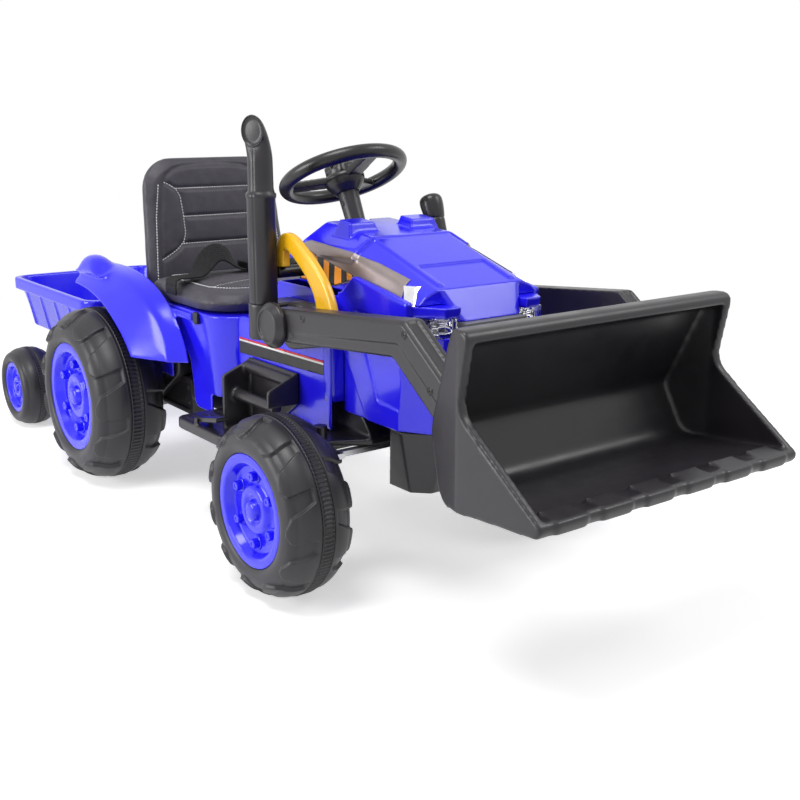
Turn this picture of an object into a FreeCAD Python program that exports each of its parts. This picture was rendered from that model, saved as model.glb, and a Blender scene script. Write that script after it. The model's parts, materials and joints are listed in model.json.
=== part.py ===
"""Ride-on tractor toy with a front loader, a padded seat and a hitched trailer.

Millimetres. X points forward, Y to the rider's left and Z up. The origin is on the ground,
half way between the bucket's lip and the trailer's tail. The right side is modelled first
and the left side is its mirror image.
"""
import FreeCAD
import Part
import math
import os

# Overall layout
wheel_base = 658.0
front_reach = 520.0
rear_reach = 622.0
hitch_reach = 92.0
trailer_axle_reach = 432.0

# Shared walls, clearances and the overrun of cuts
wall = 4.0
thin_wall = 3.0
run_gap = 0.05
seat_gap = 0.3
link_gap = 0.9
overrun = 3.0
soft_edge = 3.0
corner_room_share = 0.48

# Wheels
front_wheel_radius = 132.0
front_wheel_width = 112.0
front_rim_radius = 83.0
front_face_y = 294.0
rear_wheel_radius = 160.0
rear_wheel_width = 139.0
rear_rim_radius = 100.0
rear_face_y = 291.0
trailer_wheel_radius = 85.0
trailer_wheel_width = 78.0
trailer_rim_radius = 55.0
trailer_face_y = 250.0
axle_radius = 6.0
lug_count = 11
nut_count = 6
tyre_skin_share = 0.05
lug_height_share = 0.036
rim_step_share = 0.06
bulge_share = 0.42
shoulder_in_share = 0.13
shoulder_drop_share = 0.26
tread_mid_share = 0.27
tread_mid_drop_share = 0.07
band_share = 0.40
band_groove_share = 0.03
back_dish_share = 0.16
back_rim_share = 0.80
sleeve_share = 0.16
sleeve_out_share = 0.26
lug_gap_outer_share = 0.50
lug_gap_inner_share = 0.24
lug_slant_share = 0.16
lug_outer_share = 0.02
cap_ring_share = 0.83
cap_floor_share = 0.76
cap_recess_share = 0.13
cap_boss_share = 0.47
cap_boss_top_share = 0.40
cap_dish_share = 0.26
cap_dome_share = 0.20
cap_tip_share = 0.10
cap_dome_mid_shares = (1.2, 0.85)
cap_dome_top_share = 1.8
cap_boss_rise_share = 0.07
nut_circle_share = 0.60
nut_share = 0.085

# Chassis pan and front axle flange
chassis_bottom_z = 172.0
chassis_top_z = 205.0
chassis_half = 132.0
chassis_tail_half = 96.0
chassis_tail_reach = 62.0
chassis_nose_back = 60.0
chassis_corner = 18.0
pan_rib_width = 8.0
pan_rib_count = 7
pan_rib_depth = 12.0
pan_rim = 14.0
kingpin_y = 165.0
kingpin_radius = 7.0
kingpin_top_z = 237.0
kingpin_head = 3.0
flange_bottom_z = 206.0
flange_thick = 10.0
flange_half_length = 45.0
flange_tip_radius = 13.0
gusset_inner_y = 88.0
gusset_outer_y = 106.0
gusset_top_z = 248.0
gusset_slope = 26.0

# Knuckles, tie rod and steering shaft
knuckle_half = 13.0
knuckle_bottom_drop = 16.0
steer_arm = 45.0
steer_arm_half = 9.0
steer_arm_thick = 8.0
tie_rod_thick = 8.0
tie_rod_half = 6.0
tie_pad_half_x = 13.0
tie_pad_half_y = 9.0
link_pin_radius = 5.0
link_slot_slack = 4.0
crank_pin_radius = 4.0
crank_slot_slack = 2.6
shaft_radius = 6.0
crank_thick = 7.0
crank_half = 9.0
crank_clear = 12.0
peg_way_half = 20.0
peg_way_back = 11.0

# Steering wheel
steering_back = 176.5
steering_z = 577.0
steering_tilt = 64.0
rim_mid_radius = 92.5
rim_tube_radius = 11.0
hub_radius = 25.0
hub_top = 20.0
hub_bottom = 16.0
hub_block_length = 46.0
hub_block_width = 36.0
spoke_half = 15.0
spoke_tip_half = 11.0
spoke_thick = 11.0
spoke_sink = 4.0
spoke_count = 3
neck_radius = 17.0
neck_foot_share = 0.9
horn_radius = 5.5
horn_rise = 2.5
horn_deep = 8.0
horn_offset = 12.0

# Bonnet, from its back edge to its front edge
bonnet_back = 135.0
bonnet_front = 155.0
bonnet_nose = 180.0
bonnet_base_z = 425.0
bonnet_nose_z = 403.0
bonnet_half = 112.0
bonnet_rear_top_z = 508.0
bonnet_mid_top_z = 497.0
bonnet_front_top_z = 445.0
bonnet_mid_share = 0.46
bonnet_shoulder_half_shares = (0.96, 0.94, 0.86)
bonnet_shoulder_z_shares = (0.66, 0.74, 0.60)
bonnet_top_half_shares = (0.50, 0.62, 0.70)
bonnet_round = 20.0
bonnet_base_half_shares = (1.0, 1.02, 0.98)
nose_bottom_half = 57.0
nose_top_half = 76.0
nose_corner = 10.0
vent_back = 86.0
vent_length = 53.0
vent_inner_y = 25.0
vent_outer_y = 88.0
vent_top_z = 522.0
vent_front_drop = 5.0
vent_inset = 11.0
vent_slope = 12.0
vent_root_z = 486.0
ridge_lead = 29.0
ridge_run = 12.0
ridge_rise = 4.0
ridge_root_z = 470.0
hood_panel_half_share = 0.64
hood_panel_rise = 3.0
hood_panel_start_share = 0.47
hood_panel_end_share = 0.97
hood_pocket_half_share = 0.56
hood_pocket_start_share = 0.78
hood_pocket_end_share = 1.97

# Front skirt, grille, lamps and nose
skirt_back = 18.0
skirt_front = 186.0
skirt_bottom_z = 245.0
skirt_half = 122.0
skirt_bottom_half = 114.0
skirt_bottom_front = 168.0
skirt_crease_share = 0.72
skirt_prow_half = 86.0
skirt_corner = 7.0
lamp_shelf_z = 384.0
lamp_shelf_depth = 40.0
flank_top_z = 405.0
flank_bottom_z = 275.0
flank_depth = 7.0
flank_shares = ((0.18, 1.0), (0.69, 1.0), (0.70, 0.0), (0.435, 0.03))
flank_rear_z = 345.0
flank_rear_shares = ((-0.1, 1.0), (0.03, 1.0), (0.215, 0.0), (0.31, -0.5), (-0.1, -0.5))
cheek_rise = 26.0
cheek_low = 40.0
cheek_shares = ((0.0, 0.0), (0.03, 0.60), (0.19, 1.0), (0.56, 0.82), (0.80, 0.68), (0.80, 0.0))
lamp_inner_y = 60.0
lamp_outer_y = 102.0
lamp_height = 26.0
lamp_depth = 30.0
lamp_bevel = 6.0
lamp_proud = 4.0
grille_thick = 7.0
grille_slats = 5
grille_bottom_z = 282.0
grille_slat_rise = 4.0
grille_half = 56.0
grille_frame = 6.0
corner_lamp_back = 23.0
corner_lamp_long = 19.0
corner_lamp_tall = 23.0
corner_lamp_lean = 15.0
corner_lamp_thick = 2.5
nose_bottom_z = 147.0
nose_back = 56.0
nose_top_back = 94.0
nose_low_half = 84.0
nose_low_front = 130.0
nose_inset = 2.0
nose_corner_share = 1.4

# Middle body and dash
body_half = 135.0
hump_z = 352.0
cowl_rise_share = 0.682
cowl_round_share = 0.4
body_corner = 14.0
cowl_corner = 30.0
dash_half = 96.0
dash_depth = 24.0
dash_top_drop = 8.0
dash_lip = 4.0
dash_inset = 5.0
column_boss_radius = 21.0
column_boss_length = 26.0
start_radius = 9.0
start_rise = 4.0
start_deep = 12.0
start_y = 55.0
start_height_share = 0.42

# Seat base, seat and belt, measured forward from the rear axle
base_back = 18.0
base_length = 388.0
base_top_z = 347.0
base_half = 163.0
base_low_half = 150.0
base_front_corner = 62.0
base_back_corner = 24.0
cushion_back = 92.0
cushion_length = 268.0
cushion_half = 168.0
cushion_height = 44.0
cushion_crown = 7.0
cushion_front_corner = 78.0
cushion_back_corner = 22.0
cushion_pull = 8.0
cushion_waist_share = 0.42
cushion_brow_share = 0.80
cushion_brow_inset = 10.0
cushion_top_inset = 34.0
channel_width = 5.0
channel_depth = 2.5
back_height = 244.0
back_half = 151.0
back_thick = 36.0
back_lean = 34.0
back_corner = 62.0
back_foot_corner = 16.0
back_top_half = 136.0
back_pull = 7.0
back_gap = 8.0
back_rows_shares = (0.36, 0.55, 0.72)
back_row_half_share = 0.7
back_belly_share = 0.7
latch_width = 16.0
latch_height = 20.0
latch_thick = 5.0
belt_width = 38.0
belt_thick = 2.6
belt_x_share = 0.36
belt_drop = 20.0
belt_bend = 14.0
buckle_length = 62.0
buckle_width = 46.0
buckle_height = 15.0
buckle_tongue = 4.0
buckle_press_share = 0.7

# Rear fenders
fender_inner_y = 170.0
fender_mid_y = 200.0
fender_outer_y = 231.0
fender_skin = 5.0
fender_rear_reach = 102.0
fender_front_reach = 264.0
fender_outer_back = 27.0
fender_outer_front = 104.0
fender_crown_z = 398.0
fender_outer_crown_z = 361.0
fender_low_z = 257.0
fender_wall_low_z = 330.0
fender_crown_shares = ((0.0, 0.985), (0.25, 1.0), (0.51, 0.96), (0.775, 0.73), (0.92, 0.40), (1.0, 0.0))
fender_outer_shares = ((0.0, 1.0), (0.264, 0.94), (0.54, 0.755), (0.70, 0.56), (0.83, 0.37), (1.0, 0.0))
pod_length = 136.0
pod_width = 52.0
pod_y = 201.0
pod_front = 30.0
pod_top_z = 414.0
pod_low_z = 378.0
pod_inset = 17.0
arch_gap = 13.0
arch_inner_y = 146.0
side_window_reach = 234.0
side_window_back_share = 0.85
side_window_top_z = 272.0
side_window_corner = 24.0
apron_low_z = 172.0
apron_gap = 1.0

# Footrest with ladder, measured back from the front axle
rest_front = 188.0
rest_length = 168.0
rest_top_z = 181.0
rest_thick = 17.0
rest_outer_y = 222.0
rest_corner = 20.0
rest_tread_count = 5
rest_tread_rise = 2.0
rest_tread_width = 6.0
rest_kerb = 7.0
ladder_rear = 246.0
ladder_front = 102.0
ladder_outer_y = 190.0
ladder_top_z = 290.0
ladder_shoulder_z = 268.0
ladder_clear_z = 242.0
ladder_cheek = 7.0
ladder_back_thick = 6.0
rung_radius = 9.0
rung_y_share = 0.42
rung_z_shares = (0.50, 0.88)
pedal_length = 62.0
pedal_width = 20.0
pedal_thick = 8.0
pedal_rise = 17.0
pedal_pin_radius = 3.0
pedal_outer_gap = 7.0
pedal_front_gap = 34.0
pedal_ear = 5.0
pedal_pin_rise = 7.5

# Loader towers, arms and bucket
pivot_back = 48.0
pivot_z = 381.0
pivot_radius = 10.0
arm_inner_y = 176.0
arm_outer_y = 208.0
tower_y = 154.0
tower_boss_radius = 30.0
tower_back = 78.0
tower_front = 76.0
tower_drop = 58.0
tower_rise = 30.0
tower_heel = 44.0
tower_toe_share = 0.42
arm_rear_radius = 24.0
arm_head_z = 432.0
arm_depth = 50.0
elbow_back = 272.0
elbow_round = 14.0
leg_width = 54.0
leg_tip_x = 192.0
leg_tip_z = 372.0
arm_bevel = 5.0
arm_band_share = 0.58
arm_band_depth = 2.0
leg_groove_depth = 3.0
leg_groove_margin = 8.0
cap_radius = 33.0
cap_thick = 15.0
cap_edge = 9.0
cap_face_radius = 22.0
cap_face_sink = 2.5
bucket_depth = 216.0
bucket_height = 216.0
bucket_bottom_z = 229.0
bucket_front_half = 231.0
bucket_knee_half = 233.0
bucket_knee_share = 0.36
bucket_back_half = 207.0
bucket_rim_width = 13.0
bucket_rounds = (12.0, 30.0, 8.0, 8.0, 30.0, 40.0, 40.0, 40.0, 14.0, 12.0)
bucket_hollow_rounds = (10.0, 24.0, 0.0, 30.0, 30.0, 30.0, 24.0, 12.0)
bucket_shares = ((0.44, 1.0), (0.36, 0.56), (1.0, 0.10), (0.96, 0.045), (0.50, 0.02),
                 (0.20, 0.0), (0.12, 0.06), (0.0, 0.38), (0.22, 0.90), (0.28, 1.0))
bucket_hollow_shares = ((0.50, 0.945), (0.41, 0.57), (1.05, 0.14), (0.50, 0.075),
                        (0.26, 0.06), (0.19, 0.10), (0.065, 0.385), (0.28, 0.90))
pad_count = 6
pad_width = 48.0
pad_length = 34.0
pad_rise = 5.0

# Lift lever and grip on the right arm
lever_thick = 14.0
lever_pad = 4.0
lever_width = 21.0
lever_foot = 66.0
lever_apex_back = 52.0
lever_apex_z = 508.0
lever_hook_drop = 52.0
lever_round = 12.0
lever_foot_shares = ((-0.5, 0.0), (1.0, 0.0))
lever_neck_share = 0.6
lever_head_shares = ((1.3, -0.2), (0.3, 0.0), (-0.5, -0.5))
lever_crook_shares = ((0.5, -1.3), (1.0, -1.3))
grip_radius = 9.0
grip_length = 52.0

# Exhaust stack
stack_back = 102.0
stack_y = 195.0
stack_radius = 21.0
stack_upper_radius = 19.0
stack_base_z = 405.0
stack_collar_z = 556.0
stack_collar_height = 7.0
stack_collar_rise = 1.0
stack_bend_z = 638.0
stack_top_z = 671.0
stack_tip_back = 4.0
stack_tip_out = 36.0
stack_tip_rise = 17.0
stack_tip_radius = 29.0
stack_mouth_out = 13.0
stack_mouth_lean = 9.0

# Gear lever
gear_back = 65.0
gear_y = 123.0
gear_pivot_z = 437.0
gear_rod_radius = 7.0
gear_lean = 24.0
gear_length = 116.0
gear_knob_length = 40.0
gear_knob_radius = 13.0
gear_ball_radius = 9.0
gear_saddle_half = 14.0
gear_saddle_thick = 5.0

# Battery, gearboxes and rear axle
battery_length = 150.0
battery_width = 100.0
battery_height = 96.0
battery_back = 150.0
battery_corner = 6.0
gearbox_inner_y = 96.0
gearbox_outer_y = 140.0
gearbox_front = 128.0
gearbox_radius = 43.0
gearbox_front_radius = 30.0
gearbox_front_rise = 70.0
motor_radius = 19.0
motor_length = 50.0

# Hitch and trailer
hitch_half = 24.0
hitch_plate = 6.0
hitch_gap = 14.0
hitch_z = 150.0
hitch_back_plate = 8.0
hitch_pin_radius = 6.0
hitch_pin_head = 11.0
hitch_round_share = 0.9
drawbar_half = 17.0
drawbar_thick = 12.0
drawbar_width_share = 0.7
tub_length = 444.0
tub_half = 172.0
tub_floor_half = 137.0
tub_rim_z = 300.0
tub_floor_z = 188.0
tub_floor_inset = 30.0
tub_corner = 26.0
tub_rim_width = 9.0
tub_rim_drop = 27.0
tub_rib_width = 9.0
tub_rib_proud = 5.0
tub_rib_count = 5
tub_wall = 4.0
frame_half = 58.0
frame_rail = 16.0
frame_depth = 20.0
axle_block_half = 20.0
axle_block_y = 108.0
axle_block_width = 22.0
trailer_axle_radius = 6.0
axle_boss_share = 0.7

# Places worked out from the layout
half_length = (wheel_base + front_reach + rear_reach) / 2
lip_x = half_length
tail_x = -half_length
front_x = half_length - front_reach
rear_x = front_x - wheel_base
hitch_x = rear_x - hitch_reach
trailer_x = rear_x - trailer_axle_reach
pivot_x = front_x - pivot_back
base_front_x = rear_x - base_back + base_length
ORIGIN = FreeCAD.Vector(0, 0, 0)
X_AXIS = FreeCAD.Vector(1, 0, 0)
Y_AXIS = FreeCAD.Vector(0, 1, 0)
Z_AXIS = FreeCAD.Vector(0, 0, 1)
steer_angle = math.radians(steering_tilt)
STEER_AXIS = FreeCAD.Vector(-math.cos(steer_angle), 0, math.sin(steer_angle))
STEER_POINT = FreeCAD.Vector(front_x - steering_back, 0, steering_z)


def vec(x, y, z):
    return FreeCAD.Vector(x, y, z)


def place(plane, level):
    """Turns 2D points into 3D ones: plane xy at height level, xz at y level, yz at x level."""
    if plane == "xy":
        return lambda p: vec(p[0], p[1], level)
    if plane == "xz":
        return lambda p: vec(p[0], level, p[1])
    return lambda p: vec(level, p[0], p[1])


def rounded_wire(points, radii, plane, level):
    """Closed outline through 2D points, with each corner rounded by its radius."""
    to3d = place(plane, level)
    corners = [to3d(p) for p in points]
    count = len(corners)
    if not isinstance(radii, (list, tuple)):
        radii = [radii] * count
    starts = []
    ends = []
    mids = []
    for i, corner in enumerate(corners):
        before = corners[i - 1] - corner
        after = corners[(i + 1) % count] - corner
        room = min(before.Length, after.Length) * corner_room_share
        u = before.normalize()
        v = after.normalize()
        half = math.acos(max(-1.0, min(1.0, u.dot(v)))) / 2
        reach = min(radii[i] / math.tan(half), room)
        radius = reach * math.tan(half)
        starts.append(corner + u * reach)
        ends.append(corner + v * reach)
        if radius > 0:
            bisector = (u + v).normalize()
            mids.append(corner + bisector * (radius / math.sin(half) - radius))
        else:
            mids.append(None)
    edges = []
    for i in range(count):
        if mids[i] is not None:
            edges.append(Part.Arc(starts[i], mids[i], ends[i]).toShape())
        following = starts[(i + 1) % count]
        if (following - ends[i]).Length > 1e-6:
            edges.append(Part.LineSegment(ends[i], following).toShape())
    return Part.Wire(edges)


def prism(points, plane, low, high, radii=0):
    """Straight solid over a rounded 2D outline, from one level to another."""
    face = Part.Face(rounded_wire(points, radii, plane, low))
    along = {"xy": Z_AXIS, "xz": Y_AXIS, "yz": X_AXIS}[plane]
    return face.extrude(along * (high - low))


def loft(wires, ruled=True):
    return Part.makeLoft(wires, True, ruled)


def block(x0, x1, y0, y1, z0, z1):
    return Part.makeBox(x1 - x0, y1 - y0, z1 - z0, vec(x0, y0, z0))


def rod(start, end, radius):
    along = end - start
    return Part.makeCylinder(radius, along.Length, start, along)


def cone(start, end, radius_start, radius_end):
    along = end - start
    return Part.makeCone(radius_start, radius_end, along.Length, start, along)


def mirrored(shape):
    return shape.mirror(ORIGIN, Y_AXIS)


def both(shape):
    """A piece and its mirror image as one group of separate solids."""
    return Part.makeCompound([shape, mirrored(shape)])


def joined(shapes):
    return shapes[0].multiFuse(shapes[1:]).removeSplitter()


def stretch(shares, x0, x1, z0, z1):
    """Outline points from shares of a box's length and height."""
    return [(x0 + (x1 - x0) * s, z0 + (z1 - z0) * t) for s, t in shares]


def symmetric(points):
    """Closes a half outline of (x, y) points, given on the right side, by its mirror image."""
    return [(x, -y) for x, y in points] + [(x, y) for x, y in reversed(points)]


def tyre(radius, width, rim, bore, lugs):
    """Hollow blow-moulded tyre about the Y axis, outer face at y = 0, with chevron lugs."""
    drop = radius - rim
    lug = radius * lug_height_share
    skin = radius * tyre_skin_share
    step = width * rim_step_share
    sleeve = bore + radius * sleeve_share / 2
    dish = width * (1 - back_dish_share)
    groove = width * band_groove_share
    shoulder = (width * shoulder_in_share, radius - drop * shoulder_drop_share)
    tread = (width * tread_mid_share, radius - drop * tread_mid_drop_share)
    band = width * band_share
    belly = radius - lug - skin

    def at(p):
        return vec(0, p[0], p[1])

    def back(p):
        return (width - p[0], p[1])

    def line(a, b):
        return Part.LineSegment(at(a), at(b)).toShape()

    def arc(a, b, c):
        return Part.Arc(at(a), at(b), at(c)).toShape()

    rim_edge = (step, rim)
    bulge = (0, rim + drop * bulge_share)
    land = (band - groove, radius - lug / 2)
    inner_back = (dish - skin, rim * back_rim_share - skin)
    corners = [
        (width - step, rim), (dish, rim * back_rim_share), (dish, sleeve), (width, sleeve),
        (width, bore), (width * sleeve_out_share, bore), (width * sleeve_out_share, sleeve),
        (dish - skin, sleeve), inner_back, (width - step - skin, rim),
        (width - step - skin, belly - drop * shoulder_drop_share),
        (width * (1 - tread_mid_share), belly), (width * tread_mid_share, belly),
        (step + skin, belly - drop * shoulder_drop_share), (step + skin, rim), rim_edge,
    ]
    edges = [
        arc(rim_edge, bulge, shoulder),
        arc(shoulder, tread, land),
        line(land, (band, radius - lug / 2)),
        line((band, radius - lug / 2), (band, radius)),
        line((band, radius), back((band, radius))),
        line(back((band, radius)), back((band, radius - lug / 2))),
        line(back((band, radius - lug / 2)), back(land)),
        arc(back(land), back(tread), back(shoulder)),
        arc(back(shoulder), back(bulge), corners[0]),
    ]
    edges += [line(a, b) for a, b in zip(corners, corners[1:])]
    solid = Part.Face(Part.Wire(edges)).revolve(ORIGIN, Y_AXIS, 360)
    if not lugs:
        return solid
    pitch = 2 * math.pi * radius / lugs
    top = radius + overrun
    low = radius - drop * shoulder_drop_share - lug

    def section(y, half, slant, bottom):
        points = [(slant - half, bottom), (slant + half, bottom), (slant + half, top),
                  (slant - half, top)]
        return rounded_wire(points, 0, "xz", y)

    outer = section(width * lug_outer_share, pitch * lug_gap_outer_share / 2, 0, low)
    inner = section(band - groove, pitch * lug_gap_inner_share / 2, pitch * lug_slant_share, radius - lug)
    gap = loft([outer, inner])
    flipped = gap.mirror(vec(0, width / 2, 0), Y_AXIS)
    flipped.rotate(ORIGIN, Y_AXIS, 180 / lugs)
    tools = []
    for k in range(lugs):
        for tool in (gap, flipped):
            turned = tool.copy()
            turned.rotate(ORIGIN, Y_AXIS, k * 360 / lugs)
            tools.append(turned)
    return solid.cut(tools)


def hub_cap(radius, width, rim, nuts):
    """Wheel cap with a flat ring, a recess with nuts and a domed boss, facing y = 0."""
    face = width * rim_step_share
    floor = face + width * cap_recess_share
    rise = width * cap_boss_rise_share
    edge = rim - run_gap

    def at(a, r):
        return vec(0, a, r)

    outline = [
        at(face, edge), at(face, rim * cap_ring_share), at(floor, rim * cap_floor_share),
        at(floor, rim * cap_boss_share), at(floor - rise, rim * cap_boss_top_share),
        at(floor - rise, rim * cap_dish_share), at(floor - rise / 2, rim * cap_dome_share),
    ]
    tip = floor - rise * cap_dome_top_share
    dome_mid = at(floor - rise * cap_dome_mid_shares[0], rim * cap_dome_share * cap_dome_mid_shares[1])
    dome_tip = at(tip, rim * cap_tip_share)
    backs = [at(tip, 0), at(floor + wall, 0), at(floor + wall, rim * cap_floor_share),
             at(face + wall, edge)]
    edges = [Part.LineSegment(a, b).toShape() for a, b in zip(outline, outline[1:])]
    edges.append(Part.Arc(outline[-1], dome_mid, dome_tip).toShape())
    edges.append(Part.LineSegment(dome_tip, backs[0]).toShape())
    edges += [Part.LineSegment(a, b).toShape() for a, b in zip(backs, backs[1:] + outline[:1])]
    solid = Part.Face(Part.Wire(edges)).revolve(ORIGIN, Y_AXIS, 360)
    pieces = [solid]
    for k in range(nuts):
        turn = 2 * math.pi * (k + 0.5) / nuts
        centre = (rim * nut_circle_share * math.cos(turn), rim * nut_circle_share * math.sin(turn))
        hexagon = [(centre[0] + rim * nut_share * math.cos(turn + math.pi * j / 3),
                    centre[1] + rim * nut_share * math.sin(turn + math.pi * j / 3)) for j in range(6)]
        pieces.append(prism(hexagon, "xz", face + rise / 2, floor + wall / 2))
    return joined(pieces) if nuts else solid


def wheel_set(name, x, z, radius, width, rim, face_y, bore, lugs, nuts):
    """Tyres and caps of one axle, right and left."""
    parts = {}
    for piece, shape in (("tyre", tyre(radius, width, rim, bore, lugs)),
                         ("hub_cap", hub_cap(radius, width, rim, nuts))):
        shape.translate(vec(x, -face_y, z))
        parts[name + "_" + piece + "_right"] = shape
        parts[name + "_" + piece + "_left"] = mirrored(shape)
    return parts


def chassis():
    """Ribbed pan with a narrow tail and a flange each side that carries the kingpins."""
    tail = rear_x - chassis_tail_reach
    waist = base_front_x - base_length / 2
    front = front_x - chassis_nose_back
    outline = symmetric([(tail, chassis_tail_half), (waist, chassis_tail_half), (waist, chassis_half),
                         (front, chassis_half)])
    pan = prism(outline, "xy", chassis_bottom_z, chassis_top_z, chassis_corner)
    spacing = (front - waist - 2 * pan_rim) / pan_rib_count
    pockets = []
    for k in range(pan_rib_count):
        start = waist + pan_rim + k * spacing
        pockets.append(block(start + pan_rib_width / 2, start + spacing - pan_rib_width / 2,
                             pan_rim - chassis_half, chassis_half - pan_rim,
                             chassis_bottom_z - overrun, chassis_bottom_z + pan_rib_depth))
    pan = pan.cut(pockets)
    beam_top = flange_bottom_z + flange_thick
    neck = block(front - pan_rim, front_x + flange_half_length, -gusset_outer_y, gusset_outer_y,
                 flange_bottom_z, beam_top)
    saddle = block(front - pan_rim, front, -gusset_outer_y, gusset_outer_y, chassis_top_z,
                   flange_bottom_z)
    wing = prism([(front_x - flange_half_length, -gusset_outer_y),
                  (front_x - flange_tip_radius, -kingpin_y),
                  (front_x + flange_tip_radius, -kingpin_y),
                  (front_x + flange_half_length, -gusset_outer_y)],
                 "xy", flange_bottom_z, beam_top)
    tip = rod(vec(front_x, -kingpin_y, flange_bottom_z), vec(front_x, -kingpin_y, beam_top),
              flange_tip_radius)
    gusset = prism([(front_x - flange_half_length, beam_top),
                    (front_x - flange_half_length, gusset_top_z),
                    (front_x + flange_half_length - gusset_slope, gusset_top_z),
                    (front_x + flange_half_length, beam_top)],
                   "xz", -gusset_outer_y, -gusset_inner_y)
    side = joined([wing, tip, gusset])
    body = joined([pan, saddle, neck, side, mirrored(side)])
    bore = rod(vec(front_x, -kingpin_y, flange_bottom_z - overrun),
               vec(front_x, -kingpin_y, beam_top + overrun), kingpin_radius + run_gap)
    low = STEER_POINT - STEER_AXIS * ((steering_z - chassis_bottom_z) / STEER_AXIS.z)
    shaft_way = rod(low, STEER_POINT, shaft_radius + run_gap)
    peg_x = front_x + steer_arm - steer_arm_half
    peg_way = block(peg_x - peg_way_back, lip_x, -peg_way_half, peg_way_half, flange_bottom_z - overrun,
                    beam_top + overrun)
    return body.cut([bore, mirrored(bore), shaft_way, peg_way])


def knuckle():
    """Right steering knuckle: kingpin, block, stub axle and steering arm in one forging."""
    axle_z = front_wheel_radius
    block_top = flange_bottom_z - seat_gap
    arm_z = block_top - tie_rod_thick - steer_arm_thick - 2 * seat_gap
    body = block(front_x - knuckle_half, front_x + knuckle_half, -kingpin_y - knuckle_half,
                 -kingpin_y + knuckle_half, axle_z - knuckle_bottom_drop, block_top)
    pin = rod(vec(front_x, -kingpin_y, axle_z), vec(front_x, -kingpin_y, kingpin_top_z), kingpin_radius)
    beam_top = flange_bottom_z + flange_thick
    head = rod(vec(front_x, -kingpin_y, beam_top + seat_gap), vec(front_x, -kingpin_y, kingpin_top_z),
               kingpin_radius + kingpin_head)
    stub = rod(vec(front_x, -kingpin_y, axle_z),
               vec(front_x, -front_face_y + front_wheel_width * sleeve_out_share, axle_z), axle_radius)
    arm = prism([(front_x, -kingpin_y - steer_arm_half),
                 (front_x + steer_arm, -kingpin_y - steer_arm_half),
                 (front_x + steer_arm, -kingpin_y + steer_arm_half),
                 (front_x, -kingpin_y + steer_arm_half)],
                "xy", arm_z, arm_z + steer_arm_thick, steer_arm_half / 2)
    peg = rod(vec(front_x + steer_arm - steer_arm_half, -kingpin_y, arm_z),
              vec(front_x + steer_arm - steer_arm_half, -kingpin_y, block_top), link_pin_radius)
    return joined([body, pin, head, stub, arm, peg])


def tie_rod():
    """Bar between the knuckle arms, slotted for their pegs and for the crank of the shaft."""
    x = front_x + steer_arm - steer_arm_half
    top = flange_bottom_z - 2 * seat_gap
    low = top - tie_rod_thick
    bar = block(x - tie_rod_half, x + tie_rod_half, -kingpin_y, kingpin_y, low, top)
    pieces = [bar]
    holes = []
    for y, pin, slack in ((-kingpin_y, link_pin_radius, link_gap), (kingpin_y, link_pin_radius, link_gap),
                          (0, crank_pin_radius, crank_slot_slack)):
        pieces.append(block(x - tie_pad_half_x, x + tie_pad_half_x, y - tie_pad_half_y,
                            y + tie_pad_half_y,
                            low, top))
        long = pin + link_slot_slack
        wide = pin + slack
        holes.append(prism([(x - long, y - wide), (x + long, y - wide), (x + long, y + wide),
                            (x - long, y + wide)], "xy", low - overrun, top + overrun, wide / 2))
    return joined(pieces).cut(holes)


def steering_shaft():
    """Straight rod down the column, with a crank arm and a peg into the tie rod."""
    foot_z = flange_bottom_z + flange_thick + crank_clear
    foot = dash_axis_point(foot_z)
    peg_x = front_x + steer_arm - steer_arm_half
    post = rod(STEER_POINT, dash_axis_point(flange_bottom_z), shaft_radius)
    arm = block(foot.x - crank_half, peg_x + crank_half, -crank_half, crank_half,
                foot_z - crank_thick / 2,
                foot_z + crank_thick / 2)
    peg = rod(vec(peg_x, 0, flange_bottom_z - 2 * seat_gap - tie_rod_thick), vec(peg_x, 0, foot_z),
              crank_pin_radius)
    return joined([post, arm, peg])


def steering_frame(shape):
    """Moves a solid modelled about the Z axis at the origin on to the steering column."""
    turned = shape.copy()
    turned.rotate(ORIGIN, Y_AXIS, steering_tilt - 90)
    turned.translate(STEER_POINT)
    return turned


def steering_wheel():
    """Round rim, three flat spokes and a square hub block with two button wells."""
    rim = Part.makeTorus(rim_mid_radius, rim_tube_radius)
    pieces = [rim, rod(vec(0, 0, -hub_bottom), vec(0, 0, hub_top - spoke_thick), hub_radius),
              prism([(-hub_block_length / 2, -hub_block_width / 2),
                     (hub_block_length / 2, -hub_block_width / 2),
                     (hub_block_length / 2, hub_block_width / 2),
                     (-hub_block_length / 2, hub_block_width / 2)],
                    "xy", 0, hub_top, soft_edge)]
    for k in range(spoke_count):
        root = rounded_wire([(-spoke_half, -spoke_sink - spoke_thick),
                             (spoke_half, -spoke_sink - spoke_thick),
                             (spoke_half, -spoke_sink), (-spoke_half, -spoke_sink)], 0, "yz", 0)
        tip = rounded_wire([(-spoke_tip_half, -spoke_thick / 2), (spoke_tip_half, -spoke_thick / 2),
                            (spoke_tip_half, spoke_thick / 2),
                            (-spoke_tip_half, spoke_thick / 2)], 0, "yz",
                           rim_mid_radius)
        spoke = loft([root, tip])
        spoke.rotate(ORIGIN, Z_AXIS, k * 360 / spoke_count)
        pieces.append(spoke)
    wells = [rod(vec(0, y, hub_top - horn_deep), vec(0, y, hub_top + overrun), horn_radius + seat_gap)
             for y in (-horn_offset, horn_offset)]
    bore = rod(vec(0, 0, -hub_bottom - overrun), ORIGIN, shaft_radius + run_gap)
    return steering_frame(joined(pieces).cut(wells + [bore]))


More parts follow.
